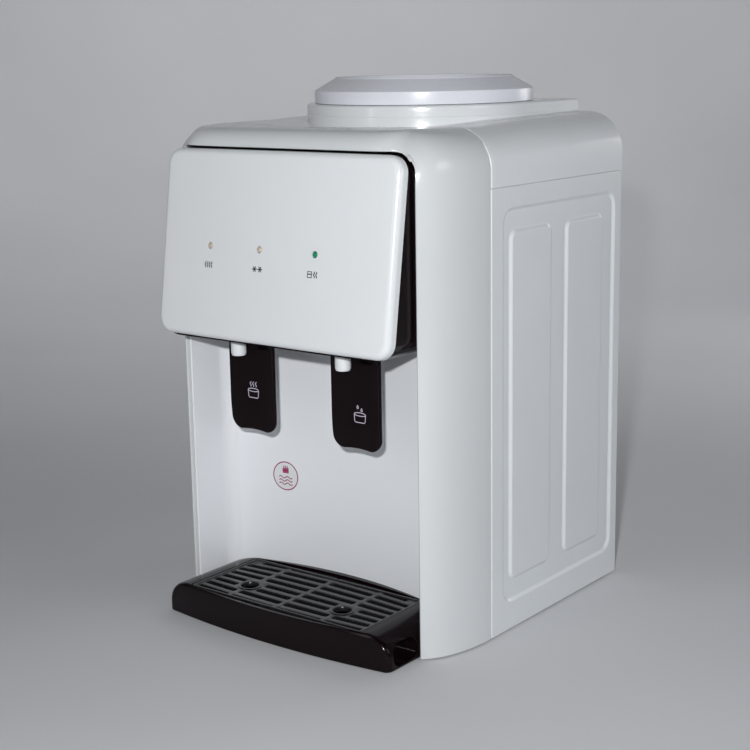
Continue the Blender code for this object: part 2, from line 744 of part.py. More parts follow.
def make_cold_tank(looks):
    left, near, right, far = COLD_TANK
    height = COLD_RIM_Z - COLD_FLOOR_Z
    middle = level(COLD_FLOOR_Z + height / 2)
    tank = plate("cold_tank", [rounded(left, near, right, far, 20.0)], height, middle, looks["steel"])
    wall = 1.5
    inside = rounded(left + wall, near + wall, right - wall, far - wall, 18.5)
    raised = level(COLD_FLOOR_Z + height / 2 + wall)
    for name, (x, y) in COLD_OUTLETS.items():
        stub = cylinder(name + "_stub", (x, y, 240.0), (x, y, COLD_FLOOR_Z + 1), 4.5, segments=14)
        join(tank, stub)
    cut(tank, plate("tank_inside", [inside], height, raised))
    for name, (x, y) in COLD_OUTLETS.items():
        cut(tank, cylinder(name + "_drain", (x, y, 230.0), (x, y, 270.0), 3.0, segments=12))

    thick = 12.0
    outside = rounded(left - thick, near - thick, right + thick, far + thick, 30.0)
    clear = 0.4
    pocket = rounded(left - clear, near - clear, right + clear, far + clear, 20.4)
    jacket_height = height + thick
    jacket_middle = level(COLD_RIM_Z - jacket_height / 2)
    jacket = plate("tank_insulation", [outside], jacket_height, jacket_middle, looks["foam"])
    cut(jacket, plate("jacket_pocket", [pocket], height + 2 * clear, middle))
    window = box(
        "cooler_window", (-20.5, far - 5, COOLER_Z - 20.5), (20.5, far + 20, COOLER_Z + 20.5)
    )
    cut(jacket, window)
    for name, (x, y) in COLD_OUTLETS.items():
        hole = cylinder(name + "_jacket_hole", (x, y, 240.0), (x, y, 275.0), 5.0, segments=14)
        cut(jacket, hole)

    shelf = rounded(-147.0, -40.0, 147.0, 155.0, 4.0, 2)
    holes = [circle(spot, 5.2, 14) for spot in COLD_OUTLETS.values()]
    holes += [circle((side * TAP_X, -27.0), 6.0, 14) for side in (-1, 1)]
    plate("tank_shelf", [shelf] + holes, 2.5, level(248.2), looks["white_steel"])


def make_cooler(looks):
    far = COLD_TANK[3]

    def slab(name, near, end, half, look):
        return box(name, (-half, near, COOLER_Z - half), (half, end, COOLER_Z + half), look)

    slab("cold_block", far + GAP, far + 12.0, 20.0, looks["aluminium"])
    slab("peltier_module", far + 12.3, far + 16.1, 20.0, looks["ceramic"])
    base_y = far + 16.4
    comb = [(-45.0, base_y), (45.0, base_y)]
    fins = 10
    pitch = 90.0 / (fins - 0.5)
    for fin in range(fins):
        right = 45.0 - fin * pitch
        comb += [(right, base_y + 22.0), (right - pitch / 2, base_y + 22.0)]
        if fin < fins - 1:
            comb += [(right - pitch / 2, base_y + 5.0), (right - pitch, base_y + 5.0)]
    plate("heat_sink", [comb], 90.0, level(COOLER_Z), looks["aluminium"])

    fan_y = base_y + 22.3
    depth = 15.0
    square = rounded(-40.0, COOLER_Z - 40.0, 40.0, COOLER_Z + 40.0, 4.0, 3)
    hole = circle((0.0, COOLER_Z), 37.5, 32)
    frame = plate("fan_frame", [square, hole], depth, upright(fan_y + depth / 2), looks["black_matte"])
    spider = []
    for spoke in range(3):
        strut = box("fan_strut_%d" % spoke, (-1.5, 0.3, 8.0), (1.5, 2.7, 38.6))
        place = Matrix.Translation((0, fan_y * MM, COOLER_Z * MM))
        spin = Matrix.Rotation(2 * math.pi * spoke / 3, 4, "Y")
        strut.matrix_world = place @ spin @ Matrix.Translation(strut.location)
        spider.append(strut)
    hub = cylinder("fan_hub", (0, fan_y + 0.1, COOLER_Z), (0, fan_y + 3.0, COOLER_Z), 12.0, segments=24)
    join(frame, *spider, hub)

    rotor = cylinder(
        "fan_rotor", (0, fan_y + 3.3, COOLER_Z), (0, fan_y + 14.5, COOLER_Z), 12.5,
        looks["black_matte"], 28,
    )
    blade_count = 7
    for number in range(blade_count):
        angle = 2 * math.pi * number / blade_count
        rotor_blade = box("fan_blade_%d" % number, (-0.8, -4.2, 10.0), (0.8, 4.2, 36.0))
        place = Matrix.Translation((0, (fan_y + 9.0) * MM, COOLER_Z * MM))
        spin = Matrix.Rotation(angle, 4, "Y")
        twist = Matrix.Rotation(math.radians(42), 4, "Z")
        offset = Matrix.Translation(rotor_blade.location)
        rotor_blade.matrix_world = place @ spin @ twist @ offset
        join(rotor, rotor_blade)


def make_hot_tank(looks):
    x, y = HOT_TANK_X, HOT_TANK_Y
    vessel = [
        (4.5, 205.0), (4.5, 191.5), (40.0, 190.0), (45.0, 184.0), (45.0, 66.0),
        (40.0, 60.0), (4.5, 58.5), (4.5, 45.0), (3.0, 45.0), (3.0, 60.0), (39.0, 61.5),
        (43.5, 67.0), (43.5, 183.0), (39.0, 188.5), (3.0, 190.0), (3.0, 205.0),
    ]
    tank = turned("hot_tank", vessel, (x, y, 0), looks["steel"], 20)
    join(tank, cylinder("hot_inlet_stub", (x + 44.2, y, 75), (x + 58, y, 75), 4.5, segments=14))
    cut(tank, cylinder("hot_inlet_bore", (x + 38, y, 75), (x + 60, y, 75), 3.0, segments=12))
    band = [(45.8, 125.0), (48.0, 125.0), (48.0, 88.0), (45.8, 88.0)]
    turned("heater_band", band, (x, y, 0), looks["aluminium"], 20)
    for name, z in (("hot_thermostat", 145.0), ("cutout_thermostat", 168.0)):
        cylinder(name, (x - 45.3, y, z), (x - 55.0, y, z), 8.0, looks["ceramic"], 16)

    profile = [
        (x - 62, 6.3), (x - 48, 6.3), (x - 48, 55.0), (x + 48, 55.0), (x + 48, 6.3), (x + 62, 6.3),
        (x + 62, 8.3), (x + 50, 8.3), (x + 50, 57.0), (x - 50, 57.0), (x - 50, 8.3), (x - 62, 8.3),
    ]
    stand = plate("tank_stand", [profile], 40.0, upright(y), looks["steel"])
    cut(stand, cylinder("stand_hole", (x, y, 50), (x, y, 60), 7.0, segments=16))


def make_hoses(looks):
    look = looks["silicone"]
    left, right = -TAP_X, TAP_X
    routes = {
        "hot_outlet_hose": [
            (left, -44.0, 268), (left, -38, 268), (left, -29, 261), (left, -27, 246),
            (left, -25, 230), (left, -10, 221), (-60, 20, 221), (-60, 46, 222),
            (-60, 59, 217), (-60, 60, 210), (-60, 60, 206.0),
        ],
        "cold_outlet_hose": [
            (40, 20, 239.0), (40, 20, 232), (42, 8, 222), (52, -12, 222),
            (right, -25, 230), (right, -27, 246), (right, -29, 261), (right, -38, 268),
            (right, -44.0, 268),
        ],
        "feed_hose": [
            (-25, 50, 239.0), (-25, 50, 231), (-18, 51, 220), (0, 54, 208), (10, 57, 180),
            (14, 60, 140), (14, 60, 100), (11, 60, 82), (4, 60, 75), (-1.0, 60, 75),
        ],
        "drain_hose": [
            (-60, 60, 44.0), (-60, 60, 37), (-60, 67, 27), (-60, 85, 23), (-60, 110, 25),
            (-60, 126, 33), (-60, 134, 35), (-60, 139.0, 35),
        ],
    }
    for name, stops in routes.items():
        tube(name, smooth_route(stops, 2), 4.0, look)


# ---------------------------------------------------------------- rear fittings and power

def make_drain(looks):
    x, z = DRAIN_X, DRAIN_Z
    profile = [
        (4.5, 0.0), (6.0, 0.0), (6.0, 11.0), (13.0, 11.0), (13.0, 15.2),
        (9.0, 15.2), (9.0, 23.8), (4.5, 23.8),
    ]
    turned("drain_outlet", profile, (x, 140.0, z), looks["white_satin"], 18, (0, 1, 0))
    cap = cylinder("drain_cap", (x, BACK_Y + 0.4, z), (x, 166.0, z), 12.0, looks["grey_plastic"], 20)
    cut(cap, cylinder("cap_hollow", (x, 150.0, z), (x, 164.3, z), 9.5, segments=20))


def make_switches(looks):
    x = SOCKET_X
    flange = box(
        "switch_bezel", (x - 22, BACK_Y + GAP, 120), (x + 22, BACK_Y + 2.8, 176), looks["black_matte"]
    )
    join(flange, box("bezel_body", (x - 18, 138, 124), (x + 18, BACK_Y + 1.0, 172)))
    outline = [
        (-11.0, -3.0), (11.0, -3.0), (12.5, 4.0), (12.8, 10.5), (0.0, 8.0),
        (-12.8, 10.5), (-12.5, 4.0),
    ]
    for name, z, look in (
        ("heating_switch", HEATING_SWITCH_Z, looks["red_rocker"]),
        ("cooling_switch", COOLING_SWITCH_Z, looks["green_rocker"]),
    ):
        cut(flange, box(name + "_window", (x - 15.2, 143.0, z - 9), (x + 15.2, 170.0, z + 9)))
        axis = Matrix.Translation((x * MM, ROCKER_AXIS_Y * MM, z * MM))
        plate(name, [outline], 17.2, axis @ Matrix.Rotation(math.radians(10), 4, "Z"), look)


def make_power(looks):
    x, z = SOCKET_X, INLET_Z
    inlet = box(
        "power_inlet",
        (x - 18, BACK_Y + GAP, z - 14),
        (x + 18, BACK_Y + 3.0, z + 14),
        looks["black_matte"],
    )
    join(inlet, box("inlet_body", (x - 14, 134, z - 11), (x + 14, BACK_Y + 1.0, z + 11)))
    cut(inlet, box("inlet_socket", (x - 11.5, 140.0, z - 8.5), (x + 11.5, 170.0, z + 8.5)))
    for number, (across, up) in enumerate(((-7.0, -2.0), (0.0, 2.0), (7.0, -2.0))):
        low = (x + across - 1, 138, z + up - 2)
        high = (x + across + 1, 152, z + up + 2)
        join(inlet, box("contact_%d" % number, low, high))

    board = box("power_board", (20, 40, 16), (120, 110, 17.6), looks["circuit_board"])
    for number, (x, y) in enumerate(((25, 45), (115, 45), (25, 105), (115, 105))):
        join(board, cylinder("standoff_%d" % number, (x, y, 6.3), (x, y, 17), 3.0, segments=8))
    join(board, box("relay", (30, 70, 17), (50, 90, 33)))
    join(board, box("terminal_block", (85, 48, 17), (112, 60, 29)))
    join(board, cylinder("capacitor", (75, 85, 17), (75, 85, 38), 8.0, segments=16))

    core = box("transformer", (40, -32, 6.3), (96, 0, 46), looks["steel"])
    join(core, box("winding", (48, -41, 10), (88, 9, 42)))


# ---------------------------------------------------------------- tray

def tray_ring(inset, z):
    """The tray in plan, narrowed by inset at the sides; its front corners are rounded."""
    narrow = (TRAY_HALF - inset) / TRAY_HALF
    corner = TRAY_CORNER
    turn_x = TRAY_HALF - corner
    front_y = TRAY_FRONT_Y + turn_x ** 2 / (2 * TRAY_FRONT_BOW_RADIUS)
    right = [
        (turn_x * s, TRAY_FRONT_Y + (turn_x * s) ** 2 / (2 * TRAY_FRONT_BOW_RADIUS))
        for s in (0.0, 0.25, 0.5, 0.75)
    ]
    right += arc((turn_x, front_y + corner), corner, -90, 0, 4)
    right += bay_half(BAY_HALF - TRAY_HALF)[1:]
    return [(x * narrow, y, z) for x, y in mirrored(right)]


def make_tray(looks):
    rings = [tray_ring(0.0, 1.0)]
    for step in range(5):
        turn = math.radians(22.5 * step)
        inset = TRAY_SHOULDER * (1 - math.cos(turn))
        height = TRAY_SHOULDER_Z + (TRAY_TOP_Z - TRAY_SHOULDER_Z) * math.sin(turn)
        rings.append(tray_ring(inset, height))
    tray = loft("drip_tray", rings, looks["black_gloss"])
    grate_middle = GRATE_TOP_Z - GRATE_THICK / 2
    seat = level(grate_middle - GAP + 5.0 - GRATE_THICK / 2)
    rebate = plate("tray_rebate", [grate_outline(-0.5)], 10.0, seat)
    basin = plate("tray_basin", [grate_outline(3.0)], 30.0, level(20.0))
    cut(tray, rebate, basin)
    for side, tag in ((-1, "left"), (1, "right")):
        scoop = plate(
            "scoop_" + tag, [rounded(-151.0, 3.0, -119.0, 21.0, 8.0)], 24.0, sideways(side * 124.0)
        )
        cut(tray, scoop)

    outlines = [grate_outline(0.0)] + grate_holes()
    plate("drip_grate", outlines, GRATE_THICK, level(grate_middle), looks["black_gloss"])


def grate_holes():
    """Four columns of slots between three dividers, and a finger hole on each outer divider."""
    divider = 52.0
    finger_y = -128.0
    finger_radius = 7.8
    columns = [(-92.0, -54.5), (-49.5, -2.5), (2.5, 49.5), (54.5, 92.0)]
    rows = [-146.0 + 12.6 * row for row in range(6)]
    front_y = TRAY_FRONT_Y + 6.5
    rear_y = BAY_BACK_Y - 14.5
    holes = []
    for left, right in columns:
        for y in rows:
            start, end = left, right
            if abs(y - finger_y) < 10.0:
                if abs(abs(left) - divider) < 3.0:
                    start = left + 9.0
                if abs(abs(right) - divider) < 3.0:
                    end = right - 9.0
            holes.append(rectangle(start, y - 3.0, end, y + 3.0))
        stations = (left, (left + right) / 2, right)
        front = [(x, front_y + x * x / (2 * TRAY_FRONT_BOW_RADIUS)) for x in stations]
        holes.append(front + [(x, y + 4.6) for x, y in reversed(front)])
        stations = [max(-84.0, min(84.0, x)) for x in stations]
        rear = [(x, rear_y - x * x / (2 * BAY_BOW_RADIUS)) for x in stations]
        holes.append(rear + [(x, y + 5.0) for x, y in reversed(rear)])
    holes += [circle((side * divider, finger_y), finger_radius, 20) for side in (-1, 1)]
    return holes


# ---------------------------------------------------------------- assembly

def main():
    global PARTS, HELPERS
    clear_scene()
    PARTS = new_collection("water_dispenser")
    HELPERS = new_collection("cutters")
    looks = make_materials()
    make_front_shell(looks["white_gloss"])
    make_top_cover(looks["white_gloss"])
    make_side_panel("left_side_panel", -1, looks["white_steel"])
    make_side_panel("right_side_panel", 1, looks["white_steel"])
    make_back_panel(looks["white_steel"])
    make_base(looks)
    make_bay_liner(looks["white_gloss"])
    make_wedge_housing(looks["black_gloss"])
    make_fascia(looks)
    make_bottle_seat(looks)
    make_tap("hot", -1, looks)
    make_tap("cold", 1, looks)
    make_cold_tank(looks)
    make_cooler(looks)
    make_hot_tank(looks)
    make_hoses(looks)
    make_drain(looks)
    make_switches(looks)
    make_power(looks)
    make_tray(looks)


main()
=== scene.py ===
"""Countertop water dispenser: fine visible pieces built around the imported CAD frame.

Lengths in the functions below are millimetres, in the frame's axes: +X to the right for
someone facing the taps, +Y to the back, +Z up, with the worktop at z = 0.
"""

import json
import math

import bmesh
import bpy
from mathutils import Matrix, Vector, geometry


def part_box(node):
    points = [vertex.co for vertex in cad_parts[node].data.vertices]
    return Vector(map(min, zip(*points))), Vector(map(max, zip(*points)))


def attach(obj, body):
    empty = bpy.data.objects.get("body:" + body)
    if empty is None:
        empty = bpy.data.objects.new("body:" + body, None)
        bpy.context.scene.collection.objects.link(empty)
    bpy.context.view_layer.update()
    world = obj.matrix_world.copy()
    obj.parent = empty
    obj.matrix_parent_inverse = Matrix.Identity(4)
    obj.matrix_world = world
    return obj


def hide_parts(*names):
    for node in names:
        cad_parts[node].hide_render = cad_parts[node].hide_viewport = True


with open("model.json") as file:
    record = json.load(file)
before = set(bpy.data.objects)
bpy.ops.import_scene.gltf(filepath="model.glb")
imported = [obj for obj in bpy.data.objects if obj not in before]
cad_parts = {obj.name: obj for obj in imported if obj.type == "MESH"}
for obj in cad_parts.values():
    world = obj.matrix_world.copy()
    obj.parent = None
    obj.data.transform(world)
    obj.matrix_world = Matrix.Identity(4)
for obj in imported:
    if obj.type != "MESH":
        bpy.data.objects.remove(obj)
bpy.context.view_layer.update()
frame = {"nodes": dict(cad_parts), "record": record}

MM = 0.001
ROOT = "cabinet"

# ---------------- sizes taken from the frame


def node_box(name):
    low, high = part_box(name)
    return [v / MM for v in low], [v / MM for v in high]


SHELL_LOW, SHELL_HIGH = node_box("front_shell")
SIDE_LOW, SIDE_HIGH = node_box("right_side_panel")
COVER_LOW, COVER_HIGH = node_box("top_cover")
TRAY_LOW, TRAY_HIGH = node_box("drip_tray")
GRATE_LOW, GRATE_HIGH = node_box("drip_grate")
LEVER_LOW, LEVER_HIGH = node_box("cold_lever")
SPOUT_LOW, SPOUT_HIGH = node_box("cold_spout")
COLLAR_LOW, COLLAR_HIGH = node_box("bottle_collar")

HALF = SIDE_HIGH[0]                       # middle to the outside of a side panel
SEAM_Y = (SHELL_HIGH[1] + SIDE_LOW[1]) / 2
BACK_Y = COVER_HIGH[1]
FRONT_BOW = SEAM_Y - SHELL_LOW[1]
BOTTOM_Z = SHELL_LOW[2]
TOP_FRONT_Z = SHELL_HIGH[2]
TOP_BACK_Z = TOP_FRONT_Z + 3.5
COVER_Z = COVER_LOW[2]
SIDE_ROUND = 34.0
FRONT_ROUND = 15.0
SEAT_Y = (COLLAR_LOW[1] + COLLAR_HIGH[1]) / 2
DECK_Z = COVER_HIGH[2]
DECK_RADIUS = 105.0
TAP_X = (LEVER_LOW[0] + LEVER_HIGH[0]) / 2
TAP_Y = (SPOUT_LOW[1] + SPOUT_HIGH[1]) / 2
CORNER_POWER_X = 9.0
CORNER_POWER_Y = 1.9


# ---------------- mesh building

SMOOTH_ANGLE = math.radians(35.0)         # edges sharper than this stay crisp


def crisp_open_edges(mesh):
    """Keep the borders of an open skin crisp, so that a wall added later meets them squarely."""
    uses = [0] * len(mesh.edges)
    for loop in mesh.loops:
        uses[loop.edge_index] += 1
    for edge in mesh.edges:
        if uses[edge.index] == 1:
            edge.use_edge_sharp = True


def new_object(name, data):
    made = bpy.data.objects.new(name, data)
    bpy.context.scene.collection.objects.link(made)
    return made


def mesh_of(name, bm, unit=MM):
    """Turn a bmesh into a mesh in metres whose faces point out."""
    bmesh.ops.recalc_face_normals(bm, faces=bm.faces)
    bmesh.ops.scale(bm, vec=(unit, unit, unit), verts=bm.verts)
    mesh = bpy.data.meshes.new(name)
    bm.to_mesh(mesh)
    bm.free()
    return mesh


def build(name, bm, look, body=ROOT, replaces=()):
    """Turn a bmesh in millimetres into a piece that rides on a body."""
    mesh = mesh_of(name, bm)
    mesh.shade_smooth()
    mesh.set_sharp_from_angle(angle=SMOOTH_ANGLE)
    crisp_open_edges(mesh)
    mesh.materials.append(look)
    piece = new_object(name, mesh)
    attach(piece, body)
    if replaces:
        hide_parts(*replaces)
    return piece


def skin(bm, rows, closed=False, cap_first=False, cap_last=False):
    """Quads over rows of equal length; returns the rows of vertices."""
    made = [[bm.verts.new(p) for p in row] for row in rows]
    count = len(made[0])
    for lower, upper in zip(made, made[1:]):
        for i in range(count if closed else count - 1):
            j = (i + 1) % count
            bm.faces.new((lower[i], lower[j], upper[j], upper[i]))
    if cap_first:
        bm.faces.new(made[0][::-1])
    if cap_last:
        bm.faces.new(made[-1])
    return made


def weld(bm, distance):
    bmesh.ops.remove_doubles(bm, verts=bm.verts, dist=distance)
    bmesh.ops.dissolve_degenerate(bm, edges=bm.edges, dist=0.005)


def inside(point, outline):
    x, y = point
    hit = False
    for (x0, y0), (x1, y1) in zip(outline, outline[1:] + outline[:1]):
        if (y0 > y) != (y1 > y) and x < (x1 - x0) * (y - y0) / (y1 - y0) + x0:
            hit = not hit
    return hit


def clearance(point, outline):
    """Distance from a point to the nearest side of an outline."""
    p = Vector(point)
    best = 1e9
    for a, b in zip(outline, outline[1:] + outline[:1]):
        a, b = Vector(a), Vector(b)
        side = b - a
        t = max(0.0, min(1.0, (p - a).dot(side) / max(side.length_squared, 1e-9)))
        best = min(best, (p - a - side * t).length)
    return best


NO_FILL = 1000.0          # a spacing that leaves a region without points inside


def region(bm, outlines, spacing, lift):
    """Fill a flat region, whose first outline is outside and whose others are holes.

    lift turns a flat point into a point in space.
    """
    points = []
    edges = []
    for outline in outlines:
        first = len(points)
        points += [Vector(p) for p in outline]
        edges += [(first + i, first + (i + 1) % len(outline)) for i in range(len(outline))]
    xs = [p[0] for p in outlines[0]]
    ys = [p[1] for p in outlines[0]]
    across = int((max(xs) - min(xs)) / spacing)
    along = int((max(ys) - min(ys)) / (spacing * 0.866))
    for j in range(along + 1):
        for i in range(across + 1):
            spot = (
                min(xs) + (i + 0.5 * (j % 2)) * spacing,
                min(ys) + j * spacing * 0.866,
            )
            if not inside(spot, outlines[0]) or any(inside(spot, o) for o in outlines[1:]):
                continue
            if min(clearance(spot, o) for o in outlines) > spacing * 0.45:
                points.append(Vector(spot))
    spots, _, faces, _, _, _ = geometry.delaunay_2d_cdt(points, edges, [], 0, 0.0001)
    verts = [None] * len(spots)
    for face in faces:
        middle = sum((spots[i] for i in face), Vector((0.0, 0.0))) / len(face)
        if not inside(middle, outlines[0]) or any(inside(middle, o) for o in outlines[1:]):
            continue
        for i in face:
            if verts[i] is None:
                verts[i] = bm.verts.new(lift(*spots[i]))
        bm.faces.new([verts[i] for i in face])


def between(a, b, steps):
    """Even steps from a to b, with both ends."""
    return [a + (b - a) * i / steps for i in range(steps + 1)]


def arc(centre, radius, start, end, steps):
    angles = [math.radians(turn) for turn in between(start, end, steps)]
    return [(centre[0] + radius * math.cos(a), centre[1] + radius * math.sin(a)) for a in angles]


def circle(centre, radius, steps):
    return arc(centre, radius, 0.0, 360.0 * (steps - 1) / steps, steps - 1)


def rounded(left, low, right, high, radius, steps=8):
    """A rectangle with round corners, anticlockwise from its lower right."""
    corners = (
        ((right - radius, low + radius), -90),
        ((right - radius, high - radius), 0),
        ((left + radius, high - radius), 90),
        ((left + radius, low + radius), 180),
    )
    points = []
    for centre, start in corners:
        points += arc(centre, radius, start, start + 90, steps)
    return points


def divided(outline, spacing):
    """The same outline with its long sides divided."""
    points = []
    for a, b in zip(outline, outline[1:] + outline[:1]):
        a, b = Vector(a), Vector(b)
        steps = max(1, round((b - a).length / spacing))
        points += [tuple(point) for point in between(a, b, steps)[:-1]]
    return points


def softened(profile, radii, steps=5):
    """A closed profile with its corners rounded; a radius of 0 keeps a corner."""
    points = []
    count = len(profile)
    for i, radius in enumerate(radii):
        here = Vector(profile[i])
        before = (Vector(profile[i - 1]) - here).normalized()
        after = (Vector(profile[(i + 1) % count]) - here).normalized()
        angle = before.angle(after)
        if radius <= 0.0 or angle > math.radians(178):
            points.append(tuple(here))
            continue
        reach = radius / math.tan(angle / 2)
        room = min(
            (Vector(profile[i - 1]) - here).length,
            (Vector(profile[(i + 1) % count]) - here).length,
        )
        reach = min(reach, room * 0.49)
        start = here + before * reach
        end = here + after * reach
        for t in between(0.0, 1.0, steps):
            points.append(tuple(start * (1 - t) ** 2 + here * 2 * t * (1 - t) + end * t ** 2))
    return points


def revolve(bm, profile, x, y, steps):
    """Turn a closed profile of (radius, height) about the upright axis at x, y."""
    rows = []
    for i in range(steps):
        a = 2 * math.pi * i / steps
        rows.append([(x + r * math.cos(a), y + r * math.sin(a), h) for r, h in profile])
    made = skin(bm, rows, closed=True)
    count = len(profile)
    for i in range(count):
        j = (i + 1) % count
        bm.faces.new((made[-1][i], made[-1][j], made[0][j], made[0][i]))


def solidify(piece, thickness, offset=-1.0, even=True):
    wall = piece.modifiers.new("wall", "SOLIDIFY")
    wall.thickness = thickness * MM
    wall.offset = offset
    wall.use_even_offset = even


def bevel(piece, width):
    edge = piece.modifiers.new("edges", "BEVEL")
    edge.width = width * MM
    edge.segments = 2
    edge.limit_method = "ANGLE"
    edge.angle_limit = SMOOTH_ANGLE
    edge.harden_normals = False


def cut(piece, bm):
    """Cut a closed bmesh, in millimetres, out of a piece."""
    tool = new_object("cutter", mesh_of("cutter", bm))
    modifier = piece.modifiers.new("cut", "BOOLEAN")
    modifier.operation = "DIFFERENCE"
    modifier.solver = "EXACT"
    modifier.object = tool
    graph = bpy.context.evaluated_depsgraph_get()
    mesh = bpy.data.meshes.new_from_object(piece.evaluated_get(graph))
    piece.modifiers.clear()
    piece.data = mesh
    bpy.data.objects.remove(tool)
    piece.data.shade_smooth()
    piece.data.set_sharp_from_angle(angle=SMOOTH_ANGLE)


def ripple(t):
    """A wave that takes eight steps to a turn."""
    return math.sin(2 * math.pi * t / 8)


def quarter(radius, step):
    """Round an edge a quarter turn, as (inset from the side, depth below the face)."""
    turns = [math.radians(turn) for turn in range(0, 91, step)]
    return [(radius * (1 - math.sin(a)), radius * (1 - math.cos(a))) for a in turns]


def smooth_step(value):
    t = max(0.0, min(1.0, value))
    return t * t * (3 - 2 * t)


# ---------------- materials

def nodes_of(name):
    look = bpy.data.materials.new(name)
    look.use_nodes = True
    tree = look.node_tree
    shader = tree.nodes["Principled BSDF"]
    coordinates = tree.nodes.new("ShaderNodeTexCoord")
    return look, tree, shader, coordinates.outputs["Object"]


def noise(tree, place, scale, detail=3.0, stretch=None):
    if stretch:
        mapping = tree.nodes.new("ShaderNodeMapping")
        mapping.inputs["Scale"].default_value = stretch
        tree.links.new(place, mapping.inputs["Vector"])
        place = mapping.outputs["Vector"]
    texture = tree.nodes.new("ShaderNodeTexNoise")
    texture.inputs["Scale"].default_value = scale
    texture.inputs["Detail"].default_value = detail
    tree.links.new(place, texture.inputs["Vector"])
    return texture.outputs["Fac"]


def spread(tree, value, low, high):
    span = tree.nodes.new("ShaderNodeMapRange")
    span.inputs["From Min"].default_value = 0.3
    span.inputs["From Max"].default_value = 0.7
    span.inputs["To Min"].default_value = low
    span.inputs["To Max"].default_value = high
    tree.links.new(value, span.inputs["Value"])
    return span.outputs["Result"]


def blend(tree, factor, first, second):
    mix = tree.nodes.new("ShaderNodeMix")
    mix.data_type = "RGBA"
    tree.links.new(factor, mix.inputs["Factor"])
    mix.inputs["A"].default_value = (*first, 1.0)
    mix.inputs["B"].default_value = (*second, 1.0)
    return mix.outputs["Result"]


def bump(tree, shader, height, strength, distance):
    node = tree.nodes.new("ShaderNodeBump")
    node.inputs["Strength"].default_value = strength
    node.inputs["Distance"].default_value = distance
    tree.links.new(height, node.inputs["Height"])
    tree.links.new(node.outputs["Normal"], shader.inputs["Normal"])


def surface(name, colour, vary, roughness, rough_vary, grain, strength, stretch=None, **extra):
    """A moulded, painted or drawn surface with slight unevenness in tone, gloss and level."""
    look, tree, shader, place = nodes_of(name)
    slow = spread(tree, noise(tree, place, 9.0, 2.0), 0.0, 1.0)
    darker = tuple(c * (1.0 - vary) for c in colour)
    lighter = tuple(min(1.0, c * (1.0 + vary)) for c in colour)
    tree.links.new(blend(tree, slow, darker, lighter), shader.inputs["Base Color"])
    fine = noise(tree, place, grain, 4.0, stretch)
    gloss = spread(tree, fine, roughness - rough_vary, roughness + rough_vary)
    tree.links.new(gloss, shader.inputs["Roughness"])
    bump(tree, shader, fine, strength, 0.0002)
    for socket, value in extra.items():
        shader.inputs[socket.replace("_", " ")].default_value = value
    look.diffuse_color = (*colour, 1.0)
    return look


# name: (colour, unevenness of tone, roughness, its unevenness, grain, bump strength), other inputs
LOOK_TABLE = {
    "white_gloss": (
        ((0.80, 0.83, 0.85), 0.012, 0.20, 0.03, 420.0, 0.05),
        {"Coat_Weight": 0.35, "Coat_Roughness": 0.06},
    ),
    # A darker copy of white_gloss for the front moulding: painted shade, the same white plastic
    # made darker than it is
    "white_gloss_painted_shade": (
        ((0.66, 0.685, 0.70), 0.012, 0.22, 0.03, 420.0, 0.05),
        {"Coat_Weight": 0.25, "Coat_Roughness": 0.08},
    ),
    # A lighter copy of white_gloss for the bay wall: painted light, the same white plastic made
    # brighter than it is
    "white_gloss_painted_light": (((0.88, 0.905, 0.94), 0.010, 0.17, 0.03, 300.0, 0.05), {}),
    "white_satin": (((0.83, 0.85, 0.91), 0.012, 0.30, 0.04, 700.0, 0.06), {}),
    "white_steel": (
        ((0.74, 0.77, 0.79), 0.015, 0.34, 0.04, 900.0, 0.10),
        {"Coat_Weight": 0.15, "Coat_Roughness": 0.15},
    ),
    "black_gloss": (
        ((0.0050, 0.0018, 0.0027), 0.15, 0.15, 0.03, 380.0, 0.05),
        {"Specular_IOR_Level": 0.20},
    ),
    "grate_black": (
        ((0.0120, 0.0115, 0.0125), 0.10, 0.25, 0.05, 1200.0, 0.10),
        {"Specular_IOR_Level": 0.42},
    ),
    "black_matte": (((0.025, 0.025, 0.026), 0.10, 0.55, 0.06, 1400.0, 0.25), {}),
    "grey_plastic": (((0.30, 0.31, 0.32), 0.05, 0.50, 0.05, 1200.0, 0.20), {}),
    "steel": (
        ((0.60, 0.60, 0.58), 0.04, 0.28, 0.06, 260.0, 0.08),
        {"stretch": (1.0, 1.0, 30.0), "Metallic": 1.0},
    ),
    "aluminium": (((0.74, 0.75, 0.76), 0.03, 0.36, 0.06, 700.0, 0.10), {"Metallic": 1.0}),
    "silicone": (((0.78, 0.78, 0.72), 0.03, 0.45, 0.05, 500.0, 0.06), {}),
    "rubber": (((0.03, 0.03, 0.03), 0.15, 0.80, 0.06, 1500.0, 0.35), {}),
    "foam": (((0.84, 0.84, 0.80), 0.05, 0.90, 0.05, 260.0, 0.60), {}),
    "ceramic": (((0.84, 0.83, 0.78), 0.03, 0.45, 0.05, 900.0, 0.10), {}),
    "clear_lens": (((0.62, 0.52, 0.42), 0.10, 0.10, 0.03, 300.0, 0.04), {"Coat_Weight": 0.8}),
    "green_lens": (
        ((0.004, 0.16, 0.075), 0.20, 0.12, 0.03, 300.0, 0.04),
        {"Coat_Weight": 0.8, "Emission_Color": (0.0, 0.45, 0.2, 1.0), "Emission_Strength": 0.12},
    ),
    "red_rocker": (((0.42, 0.015, 0.015), 0.08, 0.26, 0.04, 500.0, 0.08), {}),
    "green_rocker": (((0.015, 0.24, 0.07), 0.08, 0.26, 0.04, 500.0, 0.08), {}),
    "white_ink": (((0.62, 0.58, 0.70), 0.03, 0.45, 0.04, 900.0, 0.05), {}),
    "dark_ink": (((0.035, 0.035, 0.045), 0.10, 0.45, 0.04, 900.0, 0.05), {}),
    "pink_ink": (((0.36, 0.004, 0.095), 0.06, 0.40, 0.04, 900.0, 0.05), {}),
}


